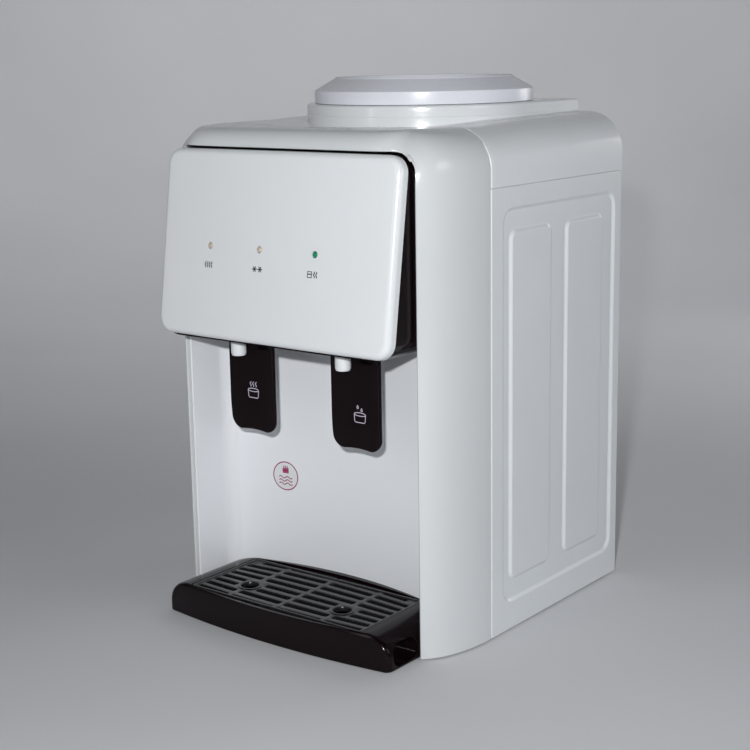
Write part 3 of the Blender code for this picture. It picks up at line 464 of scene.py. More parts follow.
def circuit_board():
    """Green solder mask with copper-coloured tracks and pads."""
    look, tree, shader, place = nodes_of("circuit_board")
    cells = tree.nodes.new("ShaderNodeTexVoronoi")
    cells.feature = "DISTANCE_TO_EDGE"
    cells.inputs["Scale"].default_value = 190.0
    tree.links.new(place, cells.inputs["Vector"])
    edge = tree.nodes.new("ShaderNodeMapRange")
    edge.inputs["From Min"].default_value = 0.02
    edge.inputs["From Max"].default_value = 0.06
    tree.links.new(cells.outputs["Distance"], edge.inputs["Value"])
    colour = blend(tree, edge.outputs["Result"], (0.25, 0.30, 0.10), (0.02, 0.16, 0.06))
    tree.links.new(colour, shader.inputs["Base Color"])
    shader.inputs["Roughness"].default_value = 0.35
    bump(tree, shader, edge.outputs["Result"], 0.15, 0.0002)
    return look


LOOKS = {name: surface(name, *values, **extra) for name, (values, extra) in LOOK_TABLE.items()}
LOOKS["circuit_board"] = circuit_board()

# Every CAD node takes its look from the material slot that the record gives it.
for part in frame["record"]["subparts"]:
    slots = frame["nodes"][part["node"]].data.materials
    slots.clear()
    slots.append(LOOKS[part["material_slot"]])

# ---------------- shapes that pieces share

SEAM_GAP = 0.3
PROUD = 0.8               # side panels and top cover stand this far outside the front moulding
CORNER_DROP = 10.0
DISH_DEPTH = 9.5
DISH_WIDTH = 60.0
ARCH_HALF = 125.4
ARCH_TOP_Z = 409.2
ARCH_ROUND = 17.0
ARCH_STEPS = 48           # steps up one side of the arch, and round one of its corners
RISE_STEPS = 16           # steps of a corner whose columns end on the rounded top edge
LINTEL_BACK_Y = -108.0
LIP = 1.6                 # round between the front face and the bay wall
BAY_HALF = 123.5
BAY_FRONT_Y = -116.0
BAY_BACK_Y = -58.0
BAY_CORNER = 14.0
BAY_BOW_RADIUS = 527.0
PANEL_HALF = 124.2
PANEL_TOP = Vector((0.0, -133.6, 408.1))
PANEL_BOTTOM = Vector((0.0, -156.2, 253.0))
PANEL_LENGTH = (PANEL_TOP - PANEL_BOTTOM).length
PANEL_UP = (PANEL_TOP - PANEL_BOTTOM).normalized()
PANEL_OUT = Vector((1.0, 0.0, 0.0)).cross(PANEL_UP)
PANEL_DEPTH = 8.5
PANEL_BOW = 2.0
LAMP_DROP = 80.0          # from the panel's top to its row of lamps
LAMP_HOLE = 2.9
MARK_DROP = 15.8          # from the lamps to the marks under them
LAMP_SHIFT = 3.2          # the lenses stand this far to the right of the lamps behind them


def edge_round(facing_side):
    """How far the top edge's round reaches in and down, from 0 at the front to 1 at a side."""
    reach = FRONT_ROUND + (SIDE_ROUND - FRONT_ROUND) * smooth_step(facing_side / 0.5)
    return reach, reach + CORNER_DROP * math.sin(math.pi * facing_side) ** 2


def front_plan():
    """The front moulding in plan as (distance along it, x, y), from the left seam to the right."""
    half = HALF - PROUD
    turn_y = -117.0

    def width(y):
        return half * (1 - ((SEAM_Y - y) / FRONT_BOW) ** CORNER_POWER_Y) ** (1 / CORNER_POWER_X)

    def depth(x):
        return SEAM_Y - FRONT_BOW * (1 - (x / half) ** CORNER_POWER_X) ** (1 / CORNER_POWER_Y)

    near = SEAM_Y - SEAM_GAP / 2
    right = [(width(y), y) for y in between(near, turn_y, 120)[:-1]]
    right += [(x, depth(x)) for x in between(0.0, width(turn_y), 160)[::-1]]
    points = [(-x, y) for x, y in right] + right[-2::-1]
    table = []
    along = 0.0
    for i, (x, y) in enumerate(points):
        if i:
            along += math.hypot(x - points[i - 1][0], y - points[i - 1][1])
        table.append((along, x, y))
    return table


PLAN = front_plan()
PLAN_END = PLAN[-1][0]


def interpolate(value, column):
    """Row of the plan table where the given column reaches a value."""
    low, high = 0, len(PLAN) - 1
    while high - low > 1:
        middle = (low + high) // 2
        if PLAN[middle][column] <= value:
            low = middle
        else:
            high = middle
    a, b = PLAN[low], PLAN[high]
    t = (value - a[column]) / max(b[column] - a[column], 1e-9)
    return [p + (q - p) * max(0.0, min(1.0, t)) for p, q in zip(a, b)]


def front_normal(x, y):
    half = HALF - PROUD
    depth = max(SEAM_Y - y, 0.0)
    nx = CORNER_POWER_X * abs(x / half) ** (CORNER_POWER_X - 1) / half * math.copysign(1.0, x)
    ny = -CORNER_POWER_Y * (depth / FRONT_BOW) ** (CORNER_POWER_Y - 1) / FRONT_BOW
    return Vector((nx, ny)).normalized()


def on_front(along, rise):
    """A point of the front moulding: rise goes 0 to 1 up the wall, 1 to 2 over the top edge."""
    _, x, y = interpolate(along, 0)
    normal = front_normal(x, y)
    reach, drop = edge_round(abs(normal.x))
    if rise <= 1.0:
        return Vector((x, y, BOTTOM_Z + (TOP_FRONT_Z - drop - BOTTOM_Z) * rise))
    tilt = math.radians(90 * (rise - 1.0))
    inset = reach * (1 - math.cos(tilt))
    height = TOP_FRONT_Z - drop * (1 - math.sin(tilt))
    return Vector((x - normal.x * inset, y - normal.y * inset, height))


def rise_at(along, z):
    _, x, y = interpolate(along, 0)
    _, drop = edge_round(abs(front_normal(x, y).x))
    start = TOP_FRONT_Z - drop
    if z <= start:
        return (z - BOTTOM_Z) / (start - BOTTOM_Z)
    return 1.0 + math.degrees(math.asin(min(1.0, 1 - (TOP_FRONT_Z - z) / drop))) / 90


def top_z(x, y):
    """Height of the top face, with the dish that slopes down to the bottle seat's front."""
    share = max(0.0, min(1.0, (y - SEAM_Y) / (BACK_Y - SEAM_Y)))
    plane = TOP_FRONT_Z + (TOP_BACK_Z - TOP_FRONT_Z) * share
    ahead = SEAT_Y - y
    if ahead <= 0.0:
        return plane
    away = math.hypot(x, ahead)
    fade = 1 - smooth_step((away - DECK_RADIUS) / DISH_WIDTH)
    return plane - DISH_DEPTH * (ahead / away) ** 3 * fade


def arch_path(half, top, radius):
    """The arch from its left foot to its right foot, as (x, z)."""
    straight = top - radius
    count = ARCH_STEPS
    left = [(-half, z) for z in between(BOTTOM_Z, straight, count)[:-1]]
    corner = arc((-half + radius, straight), radius, 180, 90, count)
    middle = [((2 * i / count - 1) * (half - radius), top) for i in range(1, count)]
    half_path = left + corner
    return half_path + middle + [(-x, z) for x, z in reversed(half_path)]


def make_front_shell():
    """Columns that start inside the arch, turn over its lip and end under the seam."""
    opening = arch_path(ARCH_HALF, ARCH_TOP_Z, ARCH_ROUND)
    edge = arch_path(ARCH_HALF + LIP, ARCH_TOP_Z + LIP, ARCH_ROUND + LIP)
    count = len(edge)
    columns = []
    last_rise = ARCH_STEPS + RISE_STEPS
    for k in range(count):
        x, z = edge[k]
        inner_x, inner_z = opening[k]
        along = interpolate(x, 1)[0]
        rise = rise_at(along, z)
        mirror = k > count // 2
        step = count - 1 - k if mirror else k
        if step < ARCH_STEPS:
            end = (0.0, step / ARCH_STEPS)
        elif step <= last_rise:
            end = (0.0, 1.0 + (step - ARCH_STEPS) / RISE_STEPS)
        elif step <= 2 * ARCH_STEPS:
            reach = interpolate(-(ARCH_HALF - ARCH_ROUND), 1)[0]
            end = (reach * (step - last_rise) / (ARCH_STEPS - RISE_STEPS), 2.0)
        else:
            end = (PLAN_END - along if mirror else along, 2.0)
        end_along = PLAN_END - end[0] if mirror else end[0]
        start = on_front(along, rise)
        corner = Vector((inner_x, start.y, inner_z))
        turned = corner + Vector((0.0, LIP, 0.0))
        deep = Vector((inner_x, max(BAY_FRONT_Y, turned.y), inner_z))
        if step >= ARCH_STEPS:
            deep.y = LINTEL_BACK_Y
        column = [deep, turned]
        for t in between(0.0, 1.0, 7)[1:-1]:
            column.append(turned * (1 - t) ** 2 + corner * 2 * t * (1 - t) + start * t ** 2)
        for t in between(0.0, 1.0, 36):
            column.append(on_front(along + (end_along - along) * t, rise + (end[1] - rise) * t))
        columns.append(column)
    bm = bmesh.new()
    skin(bm, columns)
    rim = [(column[-1].x, column[-1].y) for column in columns[last_rise:count - last_rise]]
    seam = [(x, rim[0][1]) for x in between(rim[-1][0], rim[0][0], 48)[1:-1]]
    region(bm, [rim + seam], 7.0, lambda x, y: (x, y, top_z(x, y)))
    weld(bm, 0.05)
    # The front moulding takes the darker copy of the white plastic, so shade is painted into its
    # colour
    piece = build("front_moulding", bm, LOOKS["white_gloss_painted_shade"], replaces=("front_shell",))
    solidify(piece, 1.2, even=False)


# ---------------- top cover and bottle seat

DECK_HOLE = 90.0
DECK_ROUND = 2.1          # round at the top of the deck's wall
DECK_DRAFT = 0.4          # how far the wall leans in by the time it gets there
STEP_Z = 429.9            # a faint step round the wall


def deck_path(offset):
    """The raised deck in plan, from its right rear end round the front to its left rear end."""
    radius = DECK_RADIUS + offset
    right = [(radius, y) for y in between(BACK_Y, SEAT_Y, 12)[:-1]]
    return right + arc((0.0, SEAT_Y), radius, 0, -180, 96) + [(-x, y) for x, y in reversed(right)]


def make_top_cover():
    """Two rounded sides, the dished top, the deck's wall, the deck and the flat rear face."""
    bm = bmesh.new()
    near = SEAM_Y + SEAM_GAP / 2
    edge = [(0.0, 0.8), (0.1, 0.5), (0.25, 0.25), (0.5, 0.07), (0.8, 0.0)]
    places = [(near + d, inset) for d, inset in edge]
    places += [(y, 0.0) for y in between(near + edge[-1][0], BACK_Y, 44)[1:]]
    flat_x = HALF - SIDE_ROUND
    for side in (-1, 1):
        rows = []
        for y, inset in places:
            top = top_z(flat_x, y)
            row = [(side * (HALF - inset), y, COVER_Z), (side * (HALF - inset), y, COVER_Z + 6)]
            for x, z in arc((flat_x, top - SIDE_ROUND), SIDE_ROUND, 0, 90, 16):
                lean = max(0.0, (x - flat_x) / SIDE_ROUND)
                row.append((side * (x - inset * lean * lean), y, z))
            rows.append(row)
        skin(bm, rows)
    foot = deck_path(2.0)
    ys = [y for y, _ in places]
    outline = [(flat_x, y) for y in ys] + foot + [(-flat_x, y) for y in reversed(ys)]
    outline += [(x, near) for x in between(-flat_x, flat_x, 34)[1:-1]]
    region(bm, [outline], 6.0, lambda x, y: (x, y, top_z(x, y)))

    wall = [(2.0, 0.0), (1.2, 0.15), (0.5, 0.6), (0.1, 1.3), (0.0, 2.2)]
    rows = []
    base = [top_z(x, y) for x, y in foot]
    for offset, up in wall:
        path = deck_path(offset)
        rows.append([(x, y, z + up) for (x, y), z in zip(path, base)])
    for offset, up in ((0.0, 0.0), (-0.35, 0.4), (-DECK_DRAFT, 4.1), (-DECK_DRAFT, 7.5)):
        path = deck_path(offset)
        lowest = 2.3 + 0.1 * up
        rows.append([(x, y, max(STEP_Z + up, z + lowest)) for (x, y), z in zip(path, base)])
    for turn in (20, 40, 60, 80, 90):
        a = math.radians(turn)
        path = deck_path(-DECK_DRAFT - DECK_ROUND * (1 - math.cos(a)))
        rows.append([(x, y, DECK_Z - DECK_ROUND * (1 - math.sin(a))) for x, y in path])
    skin(bm, rows)
    top = deck_path(-DECK_DRAFT - DECK_ROUND)
    back = [(x, BACK_Y) for x in between(-top[0][0], top[0][0], 30)[1:-1]]
    hole = circle((0.0, SEAT_Y), DECK_HOLE, 96)
    region(bm, [top + back, hole], 9.0, lambda x, y: (x, y, DECK_Z))

    rear = [(HALF, BACK_Y, COVER_Z), (HALF, BACK_Y, COVER_Z + 6)]
    top_rear = top_z(flat_x, BACK_Y)
    rear += [(x, BACK_Y, z) for x, z in arc((flat_x, top_rear - SIDE_ROUND), SIDE_ROUND, 0, 90, 16)]
    rear += [row[0] for row in rows]
    rear += [(x, y, DECK_Z) for x, y in reversed(back[15:])]
    rear += [(-x, y, z) for x, y, z in reversed(rear)]
    bm.faces.new([bm.verts.new(p) for p in rear])
    weld(bm, 0.05)
    solidify(build("top_moulding", bm, LOOKS["white_gloss"], replaces=("top_cover",)), 2.2)


def make_collar():
    """The seat ring, turned from a profile of (radius, height), with its corners rounded."""
    profile = [
        (75.0, 462.0), (78.6, 462.0), (79.6, 460.8), (97.5, 450.6), (97.5, 439.8),
        (89.4, 439.8), (89.4, 424.0), (87.0, 424.0), (87.0, 437.0), (70.0, 434.5), (56.5, 421.0),
        (34.0, 408.5), (32.5, 405.0), (32.5, 396.0), (30.0, 396.0), (30.0, 408.0), (54.0, 423.6),
        (66.0, 438.0), (72.5, 458.0),
    ]
    radii = [
        0.8, 0.5, 0.5, 1.2, 0.6, 0.4, 0.8, 0.8, 2.0, 6.0,
        8.0, 3.0, 2.0, 0.6, 0.6, 3.0, 8.0, 8.0, 3.0,
    ]
    bm = bmesh.new()
    revolve(bm, softened(profile, radii), 0.0, SEAT_Y, 144)
    build("bottle_seat_ring", bm, LOOKS["white_satin"], "collar", ("bottle_collar",))


# ---------------- side panels

def make_side_panel(side, replaced):
    """A pressed sheet: a sunken field with two raised pads, and rounded outer edges."""
    bm = bmesh.new()
    depth = 2.3
    pad_depth = 0.2
    slope = 3.6
    lap = 0.5
    edge_soft = 0.9
    edge_inset = 1.4
    low_y = SEAM_Y + SEAM_GAP / 2
    high_z = COVER_Z - SEAM_GAP

    def grown(shape, grow):
        left, low, right, high, radius = shape
        return rounded(left - grow, low - grow, right + grow, high + grow, max(radius + grow, 0.2))

    def ring(shape, grow, level):
        return [(side * (HALF - level), y, z) for y, z in grown(shape, grow)]

    field = (-34.6, 25.0, 147.6, 360.5, 15.0)
    pads = [(-23.0, 43.5, 42.5, 342.0, 9.0), (64.0, 43.5, 128.0, 342.0, 9.0)]
    sheet = (low_y, BOTTOM_Z, BACK_Y, high_z, 1.6)

    def band(shape, first, last, direction):
        rows = [ring(shape, -direction * lap, first)]
        for t in between(0.0, 1.0, 8):
            level = first + (last - first) * smooth_step(t)
            rows.append(ring(shape, direction * slope * t, level))
        rows.append(ring(shape, direction * (slope + lap), last))
        skin(bm, rows, closed=True)

    def flat(outlines, level):
        region(bm, outlines, NO_FILL, lambda y, z: (side * (HALF - level), y, z))

    band(field, 0.0, depth, -1)
    for pad in pads:
        band(pad, depth, pad_depth, -1)
    edge = [(edge_inset, 0.0)] + quarter(edge_soft, 15) + [(0.0, 2.4)]
    skin(bm, [ring(sheet, -inset, level) for inset, level in edge], closed=True)
    flat([grown(sheet, -edge_inset), grown(field, lap)], 0.0)
    flat([grown(field, -slope - lap)] + [grown(pad, lap) for pad in pads], depth)
    for pad in pads:
        flat([grown(pad, -slope - lap)], pad_depth)
    weld(bm, 0.05)
    build(replaced.replace("_side", ""), bm, LOOKS["white_steel"], replaces=(replaced,))


# ---------------- bay and control panel

def bay_y(x, inset=0.0):
    return BAY_BACK_Y - BAY_BOW_RADIUS + math.sqrt((BAY_BOW_RADIUS - inset) ** 2 - x * x)


def bay_outline(offset):
    centre_y = BAY_BACK_Y - BAY_BOW_RADIUS
    corner_x = BAY_HALF - BAY_CORNER
    reach = BAY_BOW_RADIUS - BAY_CORNER
    corner_y = centre_y + math.sqrt(reach ** 2 - corner_x ** 2)
    turn = math.degrees(math.asin(math.sqrt(reach ** 2 - corner_x ** 2) / reach))
    right = [(BAY_HALF - offset, BAY_FRONT_Y + 0.2), (BAY_HALF - offset, BAY_FRONT_Y + 15)]
    right += arc((corner_x, corner_y), BAY_CORNER - offset, 0, turn, 18)
    right += arc((0.0, centre_y), BAY_BOW_RADIUS - offset, turn, 90, 24)[1:]
    return right + [(-x, y) for x, y in reversed(right[:-1])]


def make_bay():
    bm = bmesh.new()
    top = 398.0
    skin(bm, [[(x, y, z) for x, y in bay_outline(0.0)] for z in between(BOTTOM_Z, top, 20)])
    # The bay wall takes the lighter copy of the white plastic, so light is painted into its colour
    # The faces look into the bay, so the wall grows away from it.
    solidify(build("bay_wall", bm, LOOKS["white_gloss_painted_light"], replaces=("bay_liner",)), 2.0, 1.0)


def on_panel(u, v, out):
    """A point of the control panel: u across, v up from its middle, out from its face."""
    middle = (PANEL_TOP + PANEL_BOTTOM) / 2
    return middle + Vector((u, 0.0, 0.0)) + PANEL_UP * v + PANEL_OUT * out


def panel_bow(u):
    return PANEL_BOW * (0.6 - (u / PANEL_HALF) ** 2)


def lamp_places():
    names = ("heating_lamp", "cooling_lamp", "warm_lamp")
    boxes = [node_box(name) for name in names]
    return {name: (low[0] + high[0]) / 2 + LAMP_SHIFT for name, (low, high) in zip(names, boxes)}


def make_fascia():
    bm = bmesh.new()
    radius = 14.0
    rim = 5.4
    length = PANEL_LENGTH / 2
    deep = PANEL_DEPTH + 1.0
    back_inset = 1.2
    rows = quarter(rim, 10) + [(0.0, deep), (back_inset, deep)]
    shape = divided(rounded(-PANEL_HALF, -length, PANEL_HALF, length, radius, 10), 12.0)
    outward = ring_normals(shape)

    def inner(inset):
        return [(u - nu * inset, v - nv * inset) for (u, v), (nu, nv) in zip(shape, outward)]

    skin(bm, [
        [on_panel(u, v, panel_bow(u) - depth) for u, v in inner(inset)] for inset, depth in rows
    ], closed=True)
    lamp_v = length - LAMP_DROP
    holes = [circle((x, lamp_v), LAMP_HOLE, 32) for x in lamp_places().values()]
    region(bm, [inner(rim)] + holes, 9.0, lambda u, v: on_panel(u, v, panel_bow(u)))
    region(bm, [inner(back_inset)] + holes, 14.0, lambda u, v: on_panel(u, v, panel_bow(u) - deep))
    for hole in holes:
        rows = [[on_panel(u, v, panel_bow(u) - depth) for u, v in hole] for depth in (0.0, deep)]
        skin(bm, rows, closed=True)
    weld(bm, 0.03)
    build("control_panel", bm, LOOKS["white_gloss"], replaces=("fascia_panel",))
    for name, x in lamp_places().items():
        make_lens(name, x, lamp_v)


def ring_normals(outline):
    """Unit normals that point out of an anticlockwise outline."""
    normals = []
    count = len(outline)
    for i in range(count):
        before = Vector(outline[i - 1])
        after = Vector(outline[(i + 1) % count])
        along = (after - before).normalized()
        normals.append((along.y, -along.x))
    return normals


def make_lens(name, x, v):
    look = LOOKS["green_lens"] if name == "warm_lamp" else LOOKS["clear_lens"]
    bm = bmesh.new()
    profile = [(2.5, -15.7), (2.5, -0.8), (2.3, -0.3), (1.8, 0.2), (1.1, 0.5), (0.4, 0.6)]
    rows = []
    for radius, out in profile:
        rows.append([on_panel(u, w, panel_bow(x) + out) for u, w in circle((x, v), radius, 28)])
    skin(bm, rows, closed=True, cap_first=True, cap_last=True)
    build(name + "_lens", bm, look, replaces=(name,))


def drawn(name, lines, width, place, look, body=ROOT, height=0.12):
    """Raised strokes along polylines of (u, v), laid on a surface by place(u, v, out)."""
    bm = bmesh.new()
    for line in lines:
        closed = len(line) > 2 and (Vector(line[0]) - Vector(line[-1])).length < 0.001
        points = [Vector(p) for p in (line[:-1] if closed else line)]
        rows = []
        for i, p in enumerate(points):
            before = points[i - 1] if (i or closed) else p
            after = points[(i + 1) % len(points)] if (i + 1 < len(points) or closed) else p
            along = (after - before).normalized()
            side = Vector((-along.y, along.x)) * width / 2
            ring = []
            for step in range(8):
                a = 2 * math.pi * step / 8
                q = p + side * math.cos(a)
                ring.append(place(q.x, q.y, height * math.sin(a)))
            rows.append(ring)
        if closed:
            rows.append(rows[0])
            made = skin(bm, rows, closed=True)
            bmesh.ops.remove_doubles(bm, verts=made[0] + made[-1], dist=0.001)
        else:
            skin(bm, rows, closed=True, cap_first=True, cap_last=True)
    return build(name, bm, look, body)


def make_panel_marks():
    v = PANEL_LENGTH / 2 - LAMP_DROP - MARK_DROP
    places = lamp_places()

    def shifted(x, lines):
        return [[(x + u, v + w) for u, w in line] for line in lines]

    def panel_place(u, w, out):
        return on_panel(u, w, panel_bow(u) + out)

    wave = [(0.55 * ripple(t), -2.4 + 4.8 * t / 12) for t in range(13)]
    heat = [[(u + x, w) for u, w in wave] for x in (-3.4, -1.1, 1.2, 3.5)]
    frost = []
    for x in (-2.9, 2.9):
        for turn in (0, 60, 120):
            a = math.radians(turn)
            reach = Vector((math.cos(a), math.sin(a))) * 2.5
            frost.append([(x - reach.x, -reach.y), (x + reach.x, reach.y)])
    keep = [[(-5.0, 2.2), (-5.0, -2.4), (-0.9, -2.4), (-0.9, 2.2), (-5.0, 2.2)]]
    keep.append([(-5.0, 0.2), (-0.9, 0.2)])
    keep += [[(u + x, w) for u, w in wave] for x in (1.6, 3.9)]
    for tag, x, lines in (
        ("heating", places["heating_lamp"], heat),
        ("cooling", places["cooling_lamp"], frost),
        ("warm", places["warm_lamp"], keep),
    ):
        lines = shifted(x - 1.0, lines)
        drawn(tag + "_mark", lines, 0.95, panel_place, LOOKS["dark_ink"], height=0.06)


# ---------------- taps

def prism(bm, outline, low, high, place):
    """A closed bar: an outline carried from low to high by place(u, v, level)."""
    rows = [[place(u, v, level) for u, v in outline] for level in (low, high)]
    skin(bm, rows, closed=True, cap_first=True, cap_last=True)


LEVER_FRONT_Y = -112.5    # the face of a lever, along its two long edges
LEVER_THICK = 5.0
LEVER_TOP_Z = 255.0
LEVER_SAG = 2.0           # depth of the hollow across the face
LEVER_ROLL = 1.6          # how far the lower end curls back
LEVER_SOFT = 1.3          # radius of the rounded edge


def make_lever(name, side):
    x0 = side * TAP_X
    low, high = node_box(name)
    half = (high[0] - low[0]) / 2
    bottom = low[2]
    corner = 11.0
    back_y = LEVER_FRONT_Y + LEVER_THICK

    def outline(inset):
        right = half - inset
        middle_x = half - corner
        middle_z = bottom + corner
        points = arc((middle_x, middle_z), corner - inset, -90, 0, 12)
        side_up = [(right, z) for z in between(middle_z, LEVER_TOP_Z, 12)[1:]]
        across = [(x, LEVER_TOP_Z) for x in between(right, -right, 16)[1:-1]]
        side_down = [(-x, z) for x, z in reversed(side_up)]
        points += side_up + across + side_down
        points += arc((-middle_x, middle_z), corner - inset, 180, 270, 12)
        under = [(x, bottom + inset) for x in between(-middle_x, middle_x, 12)[1:-1]]
        return points + [(x, z + 1.1 * (1 - (x / middle_x) ** 2)) for x, z in under]

    def hollow(x, z):
        """The front face is dished across, and rolls back a little at the bottom."""
        across = LEVER_SAG * (1 - (x / half) ** 2)
        roll = LEVER_ROLL * (1 - smooth_step((z - bottom) / 26.0))
        return LEVER_FRONT_Y + across * smooth_step((z - bottom) / 30.0) + roll

    bm = bmesh.new()
    rows = []
    for inset, depth in quarter(LEVER_SOFT, 15):
        rows.append([(x0 + x, hollow(x, z) + depth, z) for x, z in outline(inset)])
    for depth, inset in quarter(LEVER_SOFT, 30):
        rows.append([(x0 + x, back_y - depth, z) for x, z in outline(inset)])
    skin(bm, rows, closed=True)
    region(bm, [outline(LEVER_SOFT)], 4.0, lambda x, z: (x0 + x, hollow(x, z), z))
    region(bm, [outline(LEVER_SOFT)], 12.0, lambda x, z: (x0 + x, back_y, z))
    arm = [
        (-109.0, 240.0), (-100.0, 240.0), (-100.0, 302.0), (-130.0, 302.0),
        (-130.0, 299.0), (-120.0, 296.0), (-109.0, 292.0),
    ]
    for offset in (-15.0, 11.0):
        prism(bm, arm, x0 + offset, x0 + offset + 4.0, lambda y, z, x: (x, y, z))
    bar = [(-130.0, 299.0), (-122.0, 299.0), (-122.0, 302.0), (-130.0, 302.0)]
    prism(bm, bar, x0 - 13.0, x0 + 13.0, lambda y, z, x: (x, y, z))
    weld(bm, 0.03)
    build(name + "_paddle", bm, LOOKS["black_gloss"], name, (name,))

    def on_lever(u, v, out):
        return (x0 + u, hollow(u, v) - out, v)

    cup_z = 193.9 if side < 0 else 188.1
    rim_z = cup_z + 6.8
    mark_x = 0.8 if side < 0 else 4.0
    cup = [(-6.0, rim_z), (-5.5, cup_z + 1.0), (-4.6, cup_z)]
    cup += [(-x, z) for x, z in reversed(cup)]
    lines = [cup, [(6.0 * x, rim_z + 1.4 * z) for x, z in circle((0.0, 0.0), 1.0, 32)]]
    lines[1].append(lines[1][0])
    if side < 0:
        for x in (-3.0, 0.0, 3.0):
            lines.append([(x + 0.7 * ripple(t), rim_z + 2.9 + 4.4 * t / 10) for t in range(11)])
    else:
        for x, z in ((-2.3, rim_z + 5.6), (1.8, rim_z + 3.5)):
            lines.append(drop_outline(x, z, 0.8))
    lines = [[(x + mark_x, z) for x, z in line] for line in lines]
    drawn(name + "_mark", lines, 0.7, on_lever, LOOKS["white_ink"], name)


def drop_outline(x, z, size):
    """A small closed water drop with its point up."""
    points = arc((x, z), size, 150, 390, 14)
    return points + [(x, z + size * 2.3), points[0]]


def make_spout(name, side):
    bm = bmesh.new()
    low, high = node_box(name)
    outer = (high[0] - low[0]) / 2
    bore = outer - 1.8
    profile = [
        (outer, high[2]), (outer, low[2] + 2.2), (outer - 0.7, low[2]),
        (bore, low[2] + 0.2), (bore, high[2]),
    ]
    revolve(bm, softened(profile, [0.3, 1.2, 0.5, 0.3, 0.3]), side * TAP_X, TAP_Y, 56)
    build(name + "_tube", bm, LOOKS["white_gloss"], replaces=(name,))


# ---------------- tray and grate

GRATE_FRONT_Y = TRAY_LOW[1] + 3.0
GRATE_BACK_Y = BAY_BACK_Y - 6.0
TRAY_BOW = 833.0
FINGERS = [(side * 52.0, -128.0) for side in (-1, 1)]     # middles of the finger holes
FINGER_HOLE = 7.8
FINGER_RING = 10.8


def make_tray():
    half = TRAY_HIGH[0]
    front = TRAY_LOW[1]
    top = TRAY_HIGH[2]
    bottom = TRAY_LOW[2]
    shoulder_z = 10.0
    shoulder = 24.0
    corner = 5.0

    def ring(inset, z):
        narrow = (half - inset) / half
        turn_x = half - corner
        right = [(x, front + x ** 2 / (2 * TRAY_BOW)) for x in between(0.0, turn_x, 16)[:-1]]
        start_y = front + turn_x ** 2 / (2 * TRAY_BOW)
        right += arc((turn_x, start_y + corner), corner, -90, 0, 8)
        right += bay_outline(BAY_HALF - half)[1:44]
        left = [(-x, y) for x, y in reversed(right) if x > 0.001]
        return [(x * narrow, y, z) for x, y in right + left]

    bm = bmesh.new()
    rows = [ring(1.0, bottom), ring(0.2, bottom + 0.4), ring(0.0, bottom + 1.2)]
    for step in range(11):
        turn = math.radians(9.0 * step)
        inset = shoulder * (1 - math.cos(turn))
        rows.append(ring(inset, shoulder_z + (top - shoulder_z) * math.sin(turn)))
    skin(bm, rows, closed=True, cap_first=True, cap_last=True)
    piece = build("tray_shell", bm, LOOKS["black_gloss"], "tray", ("drip_tray",))
    seat = GRATE_LOW[2] - 0.3
    for inset, low, high in ((-0.5, seat, top + 5.0), (3.0, 5.0, top + 5.0)):
        cutter = bmesh.new()
        prism(cutter, grate_ring(inset), low, high, lambda x, y, z: (x, y, z))
        cut(piece, cutter)
    for side in (-1, 1):
        cutter = bmesh.new()
        scoop = rounded(-151.0, 3.0, -119.0, 21.0, 8.0)
        prism(cutter, scoop, side * 112.0, side * 136.0, lambda y, z, x: (x, y, z))
        cut(piece, cutter)
    bevel(piece, 0.5)


def bend(x, y):
    """Grate rows bow forwards at the front and backwards at the rear."""
    share = (y - GRATE_FRONT_Y) / (GRATE_BACK_Y - GRATE_FRONT_Y)
    return y + (1 - share) * x * x / (2 * TRAY_BOW) - share * x * x / (2 * BAY_BOW_RADIUS)


def grate_ring(inset):
    half = GRATE_HIGH[0] - inset
    flat = rounded(-half, GRATE_FRONT_Y + inset, half, GRATE_BACK_Y - inset, 4.0, 5)
    return [(x, bend(x, y)) for x, y in divided(flat, 8.0)]


def grate_slots():
    """Slots as (left, near, right, far), before the rows are bent."""
    divider, finger_y = FINGERS[1]
    columns = [(-90.5, -54.5), (-49.5, -2.3), (2.3, 49.5), (54.5, 90.5)]
    pitch = 12.1
    slots = []
    for left, right in columns:
        for row in range(8):
            y = GRATE_FRONT_Y + 6.6 + pitch * row
            if y > GRATE_BACK_Y - 5.0:
                continue
            start, end = left, right
            if abs(bend(divider, y) - finger_y) < 12.5:
                if abs(abs(left) - divider) < 3.0:
                    start = left + 9.5
                if abs(abs(right) - divider) < 3.0:
                    end = right - 9.5
            if row == 7:
                start, end = max(start, -82.0), min(end, 82.0)
            slots.append((start, y - 3.1, end, y + 3.1))
    return slots


